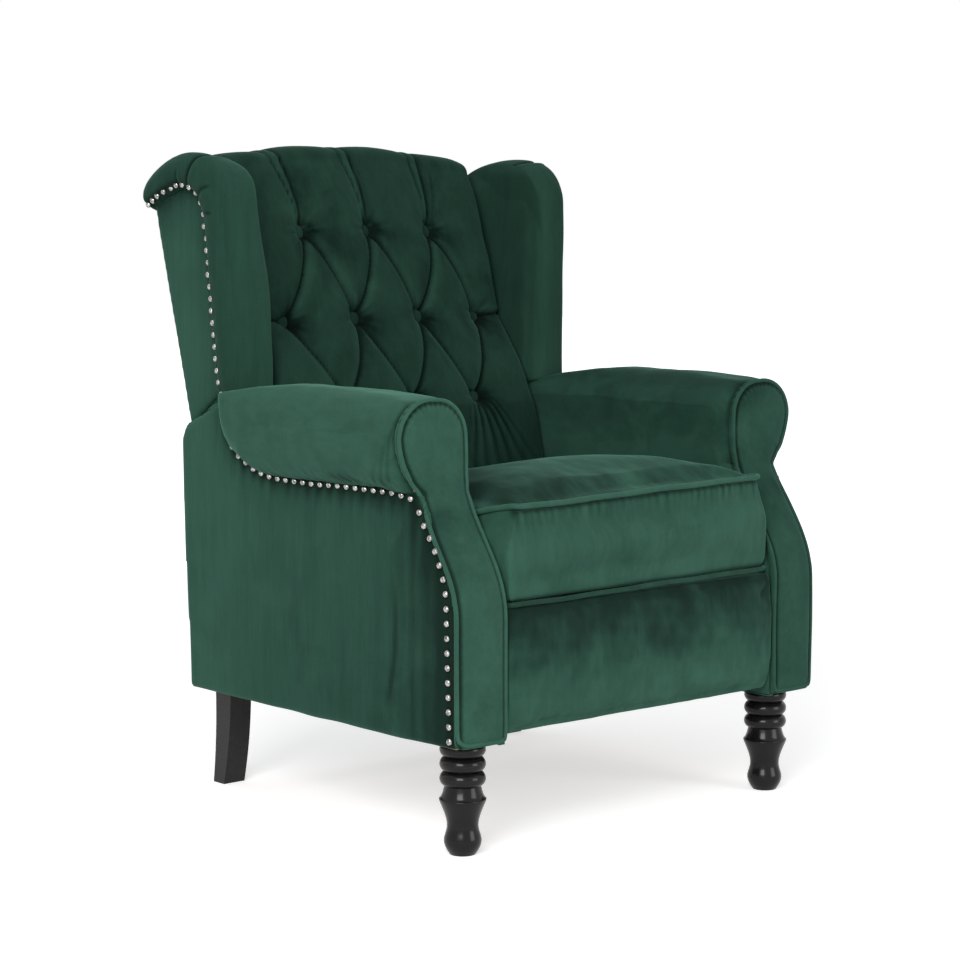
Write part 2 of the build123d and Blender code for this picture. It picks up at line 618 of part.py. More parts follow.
def seat_cushion():
    """The seat cushion: boxed at the front, crowned on top and drawn in at its edges."""
    low = SEAT_FRAME_TOP_Z + STRAP_THICKNESS + SOFT_GAP
    waist_z = (low + SEAT_EDGE_Z) / 2
    middle_y = (SEAT_FRONT_Y + SEAT_REAR_Y) / 2
    front_y, rear_y = SEAT_FRONT_Y + SEAT_BULGE, SEAT_REAR_Y
    rear_z = SEAT_EDGE_Z - 2 * SEAT_BULGE
    top_z = SEAT_EDGE_Z + SEAT_CROWN
    side = make_face([
        Polyline((front_y, low), (rear_y, low), (rear_y, rear_z)),
        ThreePointArc((rear_y, rear_z), (middle_y, top_z), (front_y, SEAT_EDGE_Z)),
        ThreePointArc((front_y, SEAT_EDGE_Z), (SEAT_FRONT_Y, waist_z), (front_y, low)),
    ])
    half = SEAT_HALF_WIDTH
    edge = half - SEAT_BULGE
    front = make_face([
        Line((-edge, low), (edge, low)),
        ThreePointArc((edge, low), (half, waist_z), (edge, SEAT_EDGE_Z)),
        ThreePointArc((edge, SEAT_EDGE_Z), (0, top_z), (-edge, SEAT_EDGE_Z)),
        ThreePointArc((-edge, SEAT_EDGE_Z), (-half, waist_z), (-edge, low)),
    ])
    return side_slab(side, -half, half) & front_slab(front, SEAT_FRONT_Y, SEAT_REAR_Y)


# ------------------------------------------------------------------ footrest
def footrest_pad():
    """The padded footrest panel, rounded at its lower corners and crowned in front."""
    rear = SEAT_FRONT_Y + FOOTREST_PAD_DEPTH
    half, low, high = FOOTREST_HALF_WIDTH, FOOTREST_BOTTOM_Z, FOOTREST_TOP_Z
    bend = FOOTREST_CORNER * (1 - math.sqrt(0.5))
    front = make_face([
        Polyline(
            (half, low + FOOTREST_CORNER), (half, high), (-half, high), (-half, low + FOOTREST_CORNER)
        ),
        ThreePointArc(
            (half, low + FOOTREST_CORNER), (half - bend, low + bend), (half - FOOTREST_CORNER, low)
        ),
        Line((half - FOOTREST_CORNER, low), (-half + FOOTREST_CORNER, low)),
        ThreePointArc(
            (-half + FOOTREST_CORNER, low), (-half + bend, low + bend), (-half, low + FOOTREST_CORNER)
        ),
    ])
    low_front, high_front = (SEAT_FRONT_Y + FOOTREST_CROWN, low), (SEAT_FRONT_Y + FOOTREST_CROWN, high)
    side = make_face([
        ThreePointArc(low_front, (SEAT_FRONT_Y, (low + high) / 2), high_front),
        Polyline(high_front, (rear, high), (rear, low), low_front),
    ])
    return front_slab(front, SEAT_FRONT_Y, rear) & side_slab(side, -half, half)


def footrest_board():
    """The plywood board behind the footrest pad."""
    front = SEAT_FRONT_Y + FOOTREST_PAD_DEPTH
    half = FOOTREST_HALF_WIDTH - FOOTREST_BOARD_MARGIN
    return block(
        -half, half, front, front + FOOTREST_BOARD_THICKNESS,
        FOOTREST_BOTTOM_Z + FOOTREST_BOARD_MARGIN, FOOTREST_TOP_Z - FOOTREST_BOARD_MARGIN,
    )


def footrest_bracket():
    """The angle bracket on the footrest board, with an ear for two links."""
    board_back = SEAT_FRONT_Y + FOOTREST_PAD_DEPTH + FOOTREST_BOARD_THICKNESS
    upper, lower = PANEL_UPPER_PIVOT, PANEL_LOWER_PIVOT
    middle_z = (upper[1] + lower[1]) / 2
    span = upper[1] - lower[1]
    height = span + 2 * LINK_HALF_WIDTH
    round_ear = Pos(upper[0], middle_z) * SlotCenterToCenter(span, 2 * LINK_HALF_WIDTH, 90)
    web = Pos((board_back + upper[0]) / 2, middle_z) * Rectangle(upper[0] - board_back, height)
    ear = side_slab(round_ear + web, LANE_CROSS, LANE_CROSS + PLATE_THICKNESS)
    flange = block(
        LANE_CROSS - 2 * LINK_HALF_WIDTH, LANE_CROSS + PLATE_THICKNESS,
        board_back, board_back + PLATE_THICKNESS, middle_z - height / 2, middle_z + height / 2,
    )
    return ear + flange - rivet_hole(LANE_CROSS, upper) + pivot_stub(LANE_CROSS, lower)


def pivot_stub(lane, point):
    """A stub on the inner face of a plate that stops just short of the next plate."""
    return across(lane - LANE_GAP + OPEN_PIVOT_GAP, lane, point, RIVET_DIAMETER)


def footrest_long_link():
    """The long link of the scissor, with a stub where the cross link passes it."""
    bar = link(LANE_LONG, ELBOW_PIVOT, PANEL_UPPER_PIVOT)
    return bar + pivot_stub(LANE_LONG, SCISSOR_PIVOT)


# ------------------------------------------------------------------ back
BACK_STATIONS = (
    # up, depth at the middle, depth at the sides
    (0.0, 88.0, 86.0),
    (BACK_CUSHION_FOOT, 91.0, 89.0),
    (137.0, 126.0, 122.0),
    (232.0, 150.0, 116.0),
    (310.0, 138.0, 92.0),
    (382.0, 122.0, 66.0),
    (460.0, 119.0, 58.0),
    (560.0, 112.0, 62.0),
    (640.0, 92.0, 66.0),
    (BACK_RISE + 10, 74.0, 60.0),
)


def back_surface(x, up):
    """The depth of the cushion's front, before tufting, at a place on the back."""
    for low, high in zip(BACK_STATIONS, BACK_STATIONS[1:]):
        if low[0] <= up <= high[0]:
            share = (up - low[0]) / (high[0] - low[0])
            middle = low[1] + share * (high[1] - low[1])
            side = low[2] + share * (high[2] - low[2])
            return middle - (middle - side) * (x / BACK_HALF_WIDTH) ** 2
    raise ValueError("place is off the back cushion")


def button_places():
    """The diamond pattern of buttons: three, four and three."""
    places = []
    for row, up in enumerate(BUTTON_ROW_UPS):
        count = 4 if row == 1 else 3
        for column in range(count):
            places.append(((column - (count - 1) / 2) * BUTTON_PITCH, up))
    return places


def pleat_lines():
    """The sewn folds: diagonals between rows, uprights to the crest and short folds to the sides."""
    places = button_places()
    upper, middle, lower = places[0:3], places[3:7], places[7:10]
    lines = []
    for index in range(3):
        for side in (0, 1):
            lines.append((upper[index], middle[index + side]))
            lines.append((lower[index], middle[index + side]))
        lines.append((upper[index], (upper[index][0] * 1.12, BACK_POST_TOP)))
    for button in (middle[0], middle[3]):
        lines.append((button, (math.copysign(BACK_HALF_WIDTH, button[0]), button[1])))
    return lines


def pleat(start, end):
    """The wedge that a sewn fold cuts into the cushion, on the unraked back."""
    here = Vector(*start, back_surface(*start) - PLEAT_DEPTH)
    there = Vector(*end, back_surface(*end) - PLEAT_DEPTH)
    run = there - here
    outward = Vector(0, 0, 1)
    frame = Plane(origin=here, x_dir=outward.cross(run), z_dir=run)
    lift = 4 * PLEAT_DEPTH
    spread = PLEAT_HALF_WIDTH * lift / PLEAT_DEPTH
    if frame.y_dir.dot(outward) < 0:
        lift = -lift
    wedge = make_face(Polyline((0, 0), (spread, lift), (-spread, lift), close=True))
    return frame * extrude(wedge, amount=run.length)


def back_front_view():
    """The front view of the back cushion, arched on top."""
    half, shoulder = BACK_HALF_WIDTH, BACK_RISE - BACK_ARCH
    return make_face([
        Polyline((-half, shoulder), (-half, BACK_CUSHION_FOOT), (half, BACK_CUSHION_FOOT), (half, shoulder)),
        ThreePointArc((half, shoulder), (0, BACK_RISE), (-half, shoulder)),
    ])


def back_side_view():
    """The side view of the back cushion, drawn as (up, depth): a rounded top over the frame."""
    shoulder = BACK_RISE - 40
    deepest = 170.0
    return make_face([
        Line((0, 0), (BACK_RISE - 24, 0)),
        ThreePointArc((BACK_RISE - 24, 0), (BACK_RISE, 36.0), (shoulder, 88.0)),
        Polyline((shoulder, 88.0), (shoulder - 60, deepest), (0, deepest), (0, 0)),
    ])


def back_cushion():
    """The tufted back cushion, wrapped over the top of its frame."""
    half = BACK_HALF_WIDTH
    sections = []
    for up, middle, side in BACK_STATIONS:
        outline = make_face([
            Line((-half, 0), (half, 0)),
            Line((half, 0), (half, side)),
            ThreePointArc((half, side), (0, middle), (-half, side)),
            Line((-half, side), (-half, 0)),
        ])
        level = Plane(origin=(0, up, 0), x_dir=(1, 0, 0), z_dir=(0, -1, 0))
        sections.append(level * outline)
    body = loft(sections) & extrude(back_front_view(), amount=200)
    body &= Plane(origin=(-half, 0, 0), x_dir=(0, 1, 0), z_dir=(1, 0, 0)) * extrude(
        back_side_view(), amount=2 * half
    )
    body -= block(-half - 1, half + 1, 0, BACK_POST_TOP + 12, -1, CUSHION_BACK_DEPTH)
    for x, up in button_places():
        body -= Pos(x, up, back_surface(x, up) - BUTTON_SINK + TUFT_RADIUS) * Sphere(TUFT_RADIUS)
    for start, end in pleat_lines():
        body -= pleat(start, end)
    return RAKE * body


def back_buttons():
    """Covered buttons at the bottom of the tufts."""
    buttons = []
    for x, up in button_places():
        floor = back_surface(x, up) - BUTTON_SINK + BUTTON_RADIUS ** 2 / (2 * TUFT_RADIUS) + SOFT_GAP
        dome_radius = (BUTTON_RADIUS ** 2 + BUTTON_RISE ** 2) / (2 * BUTTON_RISE)
        dome = Pos(x, up, floor + BUTTON_RISE - dome_radius) * Sphere(dome_radius)
        buttons.append(RAKE * (dome & block(x - 20, x + 20, up - 20, up + 20, floor, floor + 20)))
    return buttons


def back_post():
    """An upright post of the back frame."""
    return rake_block(
        BACK_POST_OUTER_X - BACK_POST_WIDTH, BACK_POST_OUTER_X, BACK_POST_FOOT, BACK_POST_TOP,
        PANEL_THICKNESS, FRAME_FRONT_DEPTH,
    )


def back_rails():
    """The bottom, middle and top rails between the posts."""
    half = BACK_POST_OUTER_X - BACK_POST_WIDTH
    rails = []
    for low in (10.0, 300.0, BACK_POST_TOP - BACK_RAIL_HEIGHT):
        rails.append(rake_block(-half, half, low, low + BACK_RAIL_HEIGHT, PANEL_THICKNESS, FRAME_FRONT_DEPTH))
    return rails


def back_webbing():
    """Straps across the front of the back frame."""
    half = BACK_POST_OUTER_X - 10
    straps = []
    for place in range(6):
        low = 90.0 + place * 2 * STRAP_WIDTH
        straps.append(rake_block(
            -half, half, low, low + STRAP_WIDTH, FRAME_FRONT_DEPTH, FRAME_FRONT_DEPTH + STRAP_THICKNESS
        ))
    return straps


def outside_back_panel():
    """The flat panel behind the back frame."""
    return rake_block(
        -BACK_HALF_WIDTH, BACK_HALF_WIDTH, BACK_POST_FOOT, BACK_POST_TOP + 10, 0, PANEL_THICKNESS
    )


def back_hinge_bracket():
    """The steel strap on the outside of a back post that turns on the seat plate."""
    top = RAKE.from_local_coords(Vector(0, HINGE_STRAP_LENGTH, HINGE_DEPTH))
    return link(LANE_BACK, HINGE_POINT, (top.Y, top.Z))


# ------------------------------------------------------------------ wings
def rake_y(z):
    """The depth of the outside of the back at a height."""
    return BACK_FOOT_Y + BACK_SLOPE * (z - HINGE_LEVEL_Z)


def wing_outline():
    """The side view of a wing, from its foot on the arm up the front and over the top."""
    brow = WING_FRONT_Y + WING_BROW_LEAN
    lean_start = (WING_FRONT_Y, ROLL_TOP_Z + 118 / 328 * WING_HEIGHT)
    lean_middle = (WING_FRONT_Y + 3 / 11 * WING_BROW_LEAN, ROLL_TOP_Z + 186 / 328 * WING_HEIGHT)
    brow_z = ROLL_TOP_Z + 266 / 328 * WING_HEIGHT
    crest = (WING_FRONT_Y + 79, WING_TOP_Z - 2)
    top_rear = (rake_y(WING_TOP_Z - 50), WING_TOP_Z - 50)
    foot_rear = (rake_y(ROLL_TOP_Z - 70), ROLL_TOP_Z - 70)
    foot_front = (WING_FRONT_Y, ROLL_TOP_Z - WING_FOOT_DROP)
    return make_face([
        Line(foot_front, lean_start),
        ThreePointArc(lean_start, lean_middle, (brow, brow_z)),
        ThreePointArc((brow, brow_z), (brow + 25, WING_TOP_Z - 23), crest),
        ThreePointArc(crest, (WING_FRONT_Y + 154, WING_TOP_Z - 1), top_rear),
        Line(top_rear, foot_rear),
        ThreePointArc(foot_rear, (WING_FRONT_Y + 67, ROLL_TOP_Z - 30), foot_front),
    ])


def wing_block():
    """The wing's padding as one rounded slab, before its frame and panel are let in."""
    slab = side_slab(wing_outline(), WING_INNER_X, WING_OUTER_X)
    front_edges = slab.edges().filter_by(
        lambda e: e.center().Z > ROLL_TOP_Z + 18
        and e.center().Y < rake_y(e.center().Z) - PANEL_THICKNESS
        and abs(e.tangent_at(0.5).X) < 0.1
    )
    return fillet(front_edges, WING_EDGE_RADIUS)


def wing_frame():
    """The plywood frame inside a wing, with the spacer that joins it to the back post."""
    inner_x = (WING_INNER_X + WING_OUTER_X - WING_FRAME_THICKNESS) / 2
    low, high = ROLL_TOP_Z + 18, WING_TOP_Z - 70
    outline = make_face(Polyline(
        (WING_FRONT_Y + 34, low), (WING_FRONT_Y + 26, high - 10), (WING_FRONT_Y + 64, high + 35),
        (WING_FRONT_Y + 154, high + 35), (rake_y(high) - 14, high), (rake_y(low) - 14, low), close=True,
    ))
    board = side_slab(outline, inner_x, inner_x + WING_FRAME_THICKNESS)
    spacer = rake_block(
        BACK_POST_OUTER_X, inner_x, BACK_POST_TOP - 300, BACK_POST_TOP - 60,
        2 * PANEL_THICKNESS, FRAME_FRONT_DEPTH - 2,
    )
    return board + spacer


def wing_outer_panel():
    """The thin panel let into the outside of a wing, inside its nailed seam."""
    brow_y, brow_z = WING_FRONT_Y + 75, WING_TOP_Z - 100
    crown = (WING_FRONT_Y + 127, WING_TOP_Z - 43)
    foot = (WING_FRONT_Y + 49, ROLL_TOP_Z - 16)
    rear_low, rear_high = ROLL_TOP_Z - 42, WING_TOP_Z - 74
    outline = make_face([
        Polyline(foot, (WING_FRONT_Y + 64, ROLL_TOP_Z + 47), (brow_y, ROLL_TOP_Z + 154), (brow_y, brow_z)),
        ThreePointArc((brow_y, brow_z), (WING_FRONT_Y + 90, WING_TOP_Z - 57), crown),
        Polyline(crown, (rake_y(rear_high) - 4, rear_high), (rake_y(rear_low) - 4, rear_low), foot),
    ])
    return side_slab(outline, WING_OUTER_X - PANEL_THICKNESS, WING_OUTER_X)


def wing_pad():
    """The wing's padding round its frame."""
    return wing_block() - wing_frame() - wing_outer_panel()


# ------------------------------------------------------------------ write every piece
def assembly():
    """Every node by name: a solid, or a list of the solids that share a node."""
    nodes = {}
    for name, right in (
        ("front_leg", front_leg()),
        ("rear_leg", rear_leg()),
        ("arm_base_plank", arm_base_plank()),
        ("arm_outer_panel", arm_outer_panel()),
        ("arm_inner_pad", arm_inner_pad()),
        ("arm_roll_pad", arm_roll_pad()),
        ("arm_facing", arm_facing()),
        ("seat_side_plate", seat_side_plate()),
        ("footrest_lift_link", link(LANE_LIFT, LIFT_PIVOT, ELBOW_PIVOT)),
        ("footrest_long_link", footrest_long_link()),
        ("footrest_cross_link", link(LANE_CROSS, CROSS_PIVOT, TIP_PIVOT, [SCISSOR_PIVOT])),
        ("footrest_tip_link", link(LANE_TIP, TIP_PIVOT, PANEL_LOWER_PIVOT)),
        ("footrest_bracket", footrest_bracket()),
        ("wing_pad", wing_pad()),
        ("wing_outer_panel", wing_outer_panel()),
    ):
        nodes[name + "_right"] = [right]
        nodes[name + "_left"] = [left_of(right)]
    nodes["leg_bolts"] = leg_bolts()
    nodes["arm_posts"] = both(arm_front_post()) + both(arm_rear_post())
    nodes["arm_top_rails"] = both(arm_top_rail())
    nodes["mechanism_boards"] = both(mechanism_board())
    nodes["rear_rail"] = [rear_rail()]
    nodes["middle_rail"] = [middle_rail()]
    nodes["mechanism_rails"] = both(mechanism_rail())
    nodes["rail_screws"] = rail_screws()
    swing_front, swing_rear = swing_pivots()
    nodes["rail_rivets"] = (
        both(rivet(LANE_RAIL, LANE_SWING, swing_front)) + both(rivet(LANE_RAIL, LANE_SWING, swing_rear))
    )
    nodes["front_swing_links"] = both(link(LANE_SWING, swing_front, swing_top(swing_front)))
    nodes["rear_swing_links"] = both(link(LANE_SWING, swing_rear, swing_top(swing_rear)))
    nodes["torque_tube"] = [torque_tube()]
    nodes["seat_cross_rails"] = [seat_cross_rail(SEAT_FRONT_RAIL_Y), seat_cross_rail(SEAT_REAR_RAIL_Y)]
    nodes["seat_side_rails"] = both(seat_side_rail())
    nodes["seat_webbing"] = seat_webbing()
    nodes["seat_cushion"] = [seat_cushion()]
    nodes["seat_rivets"] = seat_rivets()
    nodes["elbow_rivets"] = both(rivet(LANE_LIFT, LANE_LONG, ELBOW_PIVOT))
    nodes["tip_rivets"] = both(rivet(LANE_CROSS, LANE_TIP, TIP_PIVOT))
    nodes["panel_rivets"] = both(rivet(LANE_LONG, LANE_CROSS, PANEL_UPPER_PIVOT))
    nodes["footrest_board"] = [footrest_board()]
    nodes["footrest_pad"] = [footrest_pad()]
    nodes["back_posts"] = both(back_post())
    nodes["back_rails"] = back_rails()
    nodes["back_webbing"] = back_webbing()
    nodes["back_cushion"] = [back_cushion()]
    nodes["back_buttons"] = back_buttons()
    nodes["outside_back_panel"] = [outside_back_panel()]
    nodes["back_hinge_brackets"] = both(back_hinge_bracket())
    nodes["wing_frames"] = both(wing_frame())
    return nodes


def main():
    """Write one STEP file for each node and print the joint places that the links turn on."""
    os.makedirs("parts", exist_ok=True)
    for name, pieces in assembly().items():
        solids = [PLACE * solid for piece in pieces for solid in piece.solids()]
        shape = solids[0] if len(solids) == 1 else Compound(solids)
        export_step(shape, os.path.join("parts", name + ".step"))
    pivots = {
        "front swing": swing_pivots()[0], "rear swing": swing_pivots()[1],
        "seat on front swing": swing_top(swing_pivots()[0]), "back hinge": HINGE_POINT,
        "lift": LIFT_PIVOT, "elbow": ELBOW_PIVOT, "cross": CROSS_PIVOT, "tip": TIP_PIVOT,
        "panel upper": PANEL_UPPER_PIVOT, "panel lower": PANEL_LOWER_PIVOT,
    }
    for name, (depth, height) in pivots.items():
        print(f"pivot {name}: y {depth - PLAN_MIDDLE_Y:.2f} z {height + LEG_HEIGHT:.2f}")
    print(f"plan moved by {-PLAN_MIDDLE_Y:.2f}")


main()
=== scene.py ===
"""A wingback recliner in green velvet: soft covers, piping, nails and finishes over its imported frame."""

import json
import logging
import math
from dataclasses import dataclass
from enum import Enum
from typing import Callable, Dict, List, Optional, Sequence, Tuple

import bmesh
import bpy
import numpy as np
from mathutils import Matrix, Vector
from mathutils.bvhtree import BVHTree


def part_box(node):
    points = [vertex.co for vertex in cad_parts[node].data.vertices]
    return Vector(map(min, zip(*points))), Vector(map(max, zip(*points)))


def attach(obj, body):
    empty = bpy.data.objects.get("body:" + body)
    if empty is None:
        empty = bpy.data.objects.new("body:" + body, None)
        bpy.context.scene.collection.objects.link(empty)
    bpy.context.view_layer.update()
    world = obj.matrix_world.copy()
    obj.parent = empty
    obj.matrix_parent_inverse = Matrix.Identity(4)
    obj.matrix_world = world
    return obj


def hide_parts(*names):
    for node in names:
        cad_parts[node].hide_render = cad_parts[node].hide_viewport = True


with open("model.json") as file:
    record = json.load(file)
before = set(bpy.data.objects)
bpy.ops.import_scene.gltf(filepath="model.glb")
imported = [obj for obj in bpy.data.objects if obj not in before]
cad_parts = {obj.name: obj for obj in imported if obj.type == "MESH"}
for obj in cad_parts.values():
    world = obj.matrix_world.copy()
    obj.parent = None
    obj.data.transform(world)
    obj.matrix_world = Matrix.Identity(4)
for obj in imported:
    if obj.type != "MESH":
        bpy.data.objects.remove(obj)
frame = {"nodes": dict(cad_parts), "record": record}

LOG = logging.getLogger("recliner")
MM = 0.001
LEG_AXIS_Y = -0.33395
RAYS_SEEN = ("Camera", "Glossy", "Transmission")
Colour = Tuple[float, float, float]
Point2 = Tuple[float, float]


class Side(Enum):
    """The two sides of the chair, as the sign of x."""

    LEFT = -1
    RIGHT = 1

    @property
    def word(self) -> str:
        """The side's name, as the nodes are named."""
        return self.name.lower()


class Nap(Enum):
    """How the velvet's pile was brushed, as the scale of its streaks along x, y and z."""

    UPRIGHT = (52.0, 52.0, 6.0)
    LENGTHWISE = (30.0, 14.0, 24.0)
    CLOUDED = (40.0, 30.0, 12.0)


# ---------------------------------------------------------------- measures
def at(x: float, y: float, z: float) -> Vector:
    """A point in millimetres, its depth measured from the front legs' axis, as metres in the frame."""
    return Vector((x * MM, y * MM + LEG_AXIS_Y, z * MM))


def smooth_rise(low: float, high: float, value: np.ndarray) -> np.ndarray:
    """A smooth step from 0 at low to 1 at high."""
    share = np.clip((value - low) / (high - low), 0.0, 1.0)
    return share * share * (3.0 - 2.0 * share)


def ripple(points: np.ndarray, wavelength: float, seed: int, stretch: Colour = (1, 1, 1)) -> np.ndarray:
    """A smooth random height field.

    Args:
        points: Places, one row each.
        wavelength: The usual distance from crest to crest, in the units of points.
        seed: Picks the field.
        stretch: How many times longer the waves are along each axis.

    Returns:
        A height for each place, about 1 at most.
    """
    chance = np.random.default_rng(seed)
    waves = chance.normal(size=(9, points.shape[1]))
    waves /= np.linalg.norm(waves, axis=1)[:, None]
    waves *= (2 * math.pi / wavelength) * chance.uniform(0.6, 1.5, (9, 1))
    waves /= np.array(stretch[: points.shape[1]], float)
    phases = chance.uniform(0, 2 * math.pi, 9)
    return np.sin(points @ waves.T + phases).sum(axis=1) / 4.5


def distance_to_path(places: np.ndarray, path: np.ndarray) -> Tuple[np.ndarray, np.ndarray, np.ndarray]:
    """How far places in a plane lie from a path.

    Args:
        places: Places, one row of two numbers each.
        path: The path's points, in order.

    Returns:
        The distance, the share of the way along the path, and the side of it, 1 or -1, for each place.
    """
    best = np.full(len(places), 1e9)
    along, side = np.zeros(len(places)), np.ones(len(places))
    count = len(path) - 1
    for index in range(count):
        start, run = path[index], path[index + 1] - path[index]
        offset = places - start
        share = np.clip(offset @ run / max(run @ run, 1e-12), 0, 1)
        gap = np.linalg.norm(offset - share[:, None] * run, axis=1)
        nearer = gap < best
        best[nearer] = gap[nearer]
        along[nearer] = (index + share[nearer]) / count
        side[nearer] = np.sign(run[0] * offset[nearer, 1] - run[1] * offset[nearer, 0])
    return best, along, side


def arc_through(start: Point2, middle: Point2, end: Point2, steps: int) -> List[Point2]:
    """Points along the arc through three places.

    Args:
        start: Its first place.
        middle: A place on it.
        end: Its last place.
        steps: How many steps to take.

    Returns:
        steps + 1 points, ends included.
    """
    (ax, ay), (bx, by), (cx, cy) = start, middle, end
    d = 2 * (ax * (by - cy) + bx * (cy - ay) + cx * (ay - by))
    a2, b2, c2 = ax * ax + ay * ay, bx * bx + by * by, cx * cx + cy * cy
    ox = (a2 * (by - cy) + b2 * (cy - ay) + c2 * (ay - by)) / d
    oy = (a2 * (cx - bx) + b2 * (ax - cx) + c2 * (bx - ax)) / d
    radius = math.hypot(ax - ox, ay - oy)
    turns = [math.atan2(y - oy, x - ox) for x, y in (start, middle, end)]
    sweep = (turns[2] - turns[0]) % (2 * math.pi)
    if (turns[1] - turns[0]) % (2 * math.pi) > sweep:
        sweep -= 2 * math.pi
    return [
        (ox + radius * math.cos(turns[0] + sweep * i / steps), oy + radius * math.sin(turns[0] + sweep * i / steps))
        for i in range(steps + 1)
    ]


def evenly(path: Sequence[Sequence[float]], spacing: float, smooth: bool = True) -> np.ndarray:
    """A path resampled at even steps.

    Args:
        path: The points to pass through.
        spacing: The step, in the units of the points.
        smooth: Whether the path bends smoothly through its points.

    Returns:
        The new points, one row each.
    """
    points = np.array(path, float)
    if smooth:
        padded = np.vstack([2 * points[0] - points[1], points, 2 * points[-1] - points[-2]])
        dense = []
        for a, b, c, d in zip(padded, padded[1:], padded[2:], padded[3:]):
            for t in np.linspace(0, 1, 12, endpoint=False):
                dense.append(0.5 * (2 * b + (c - a) * t + (2 * a - 5 * b + 4 * c - d) * t * t
                                    + (3 * b - a - 3 * c + d) * t ** 3))
        points = np.array(dense + [padded[-2]])
    lengths = np.concatenate([[0], np.cumsum(np.linalg.norm(np.diff(points, axis=0), axis=1))])
    count = max(2, int(round(lengths[-1] / spacing)) + 1)
    wanted = np.linspace(0, lengths[-1], count)
    return np.stack([np.interp(wanted, lengths, points[:, k]) for k in range(points.shape[1])], axis=1)


# ---------------------------------------------------------------- finishes
class Recipe:
    """A material under construction, with one method for its nodes."""

    def __init__(self, name: str, world: Optional[bpy.types.World] = None) -> None:
        """Start an empty material, or the recipe of a world.

        Args:
            name: The material's name.
            world: A world to colour instead, whose main shader is its background.
        """
        self.material = bpy.data.materials.new(name) if world is None else world
        self.material.use_nodes = True
        self.tree = self.material.node_tree
        self.shader = self.tree.nodes["Principled BSDF" if world is None else "Background"]
        self.place = Reading(self, self.node("ShaderNodeTexCoord", {}, {}).outputs["Object"])

    def node(self, kind: str, settings: Dict[str, object], values: Dict[object, object]) -> bpy.types.Node:
        """Add a node.

        Args:
            kind: The node's type.
            settings: Its own settings, set first; "stops" gives a ramp's colours.
            values: Numbers, colours or readings for its sockets, by name or number.

        Returns:
            The node.
        """
        node = self.tree.nodes.new(kind)
        for key, value in settings.items():
            if key == "stops":
                for index, (place, colour) in enumerate(value):
                    stop = node.color_ramp.elements
                    element = stop[index] if index < 2 else stop.new(place)
                    element.position, element.color = place, (*colour, 1.0)
            else:
                setattr(node, key, value)
        for key, value in values.items():
            if isinstance(value, Reading):
                self.tree.links.new(value.socket, node.inputs[key])
            else:
                node.inputs[key].default_value = value
        return node

    def noise(self, scale: float, detail: float = 3.0, distortion: float = 0.0,
              stretch: Optional[Colour] = None) -> "Reading":
        """A noise pattern on the object's own coordinates, stretched along its axes if asked.

        Args:
            scale: How fine the pattern is.
            detail: How many finer patterns are laid over it.
            distortion: How far it is swirled.
            stretch: How many times finer it is along each axis.

        Returns:
            The pattern, about 0 to 1.
        """
        place = self.place
        if stretch is not None:
            mapping = self.node("ShaderNodeMapping", {}, {"Vector": place, "Scale": stretch})
            place = Reading(self, mapping.outputs["Vector"])
        node = self.node("ShaderNodeTexNoise", {}, {
            "Vector": place, "Scale": scale, "Detail": detail, "Distortion": distortion, "Roughness": 0.55,
        })
        return Reading(self, node.outputs["Fac"])

    def seen(self) -> "Reading":
        """1 for the rays that the camera sees straight, in gloss or through glass, and 0 for the rest."""
        path = self.node("ShaderNodeLightPath", {}, {}).outputs
        camera, glossy, through = (Reading(self, path[f"Is {kind} Ray"]) for kind in RAYS_SEEN)
        return (camera + glossy + through).clamped()

    def mix(self, share: object, first: object, second: object) -> "Reading":
        """A colour between two four-part colours or readings, by a share from 0 to 1."""
        node = self.node("ShaderNodeMix", {"data_type": "RGBA"}, {0: share, 6: first, 7: second})
        return Reading(self, node.outputs[2])

    def blend(self, share: "Reading", first: Colour, second: Colour) -> "Reading":
        """A colour between two plain colours, by a share from 0 to 1."""
        return self.mix(share, (*first, 1.0), (*second, 1.0))

    def bump(self, height: "Reading", strength: float, distance: float) -> None:
        """Give the surface a fine relief."""
        node = self.node("ShaderNodeBump", {}, {"Height": height, "Strength": strength, "Distance": distance})
        self.tree.links.new(node.outputs["Normal"], self.shader.inputs["Normal"])

    def feed(self, **sockets: object) -> None:
        """Set the main shader's sockets, with their spaces written as underscores."""
        for key, value in sockets.items():
            socket = self.shader.inputs[key.replace("_", " ")]
            if isinstance(value, Reading):
                self.tree.links.new(value.socket, socket)
            else:
                socket.default_value = value


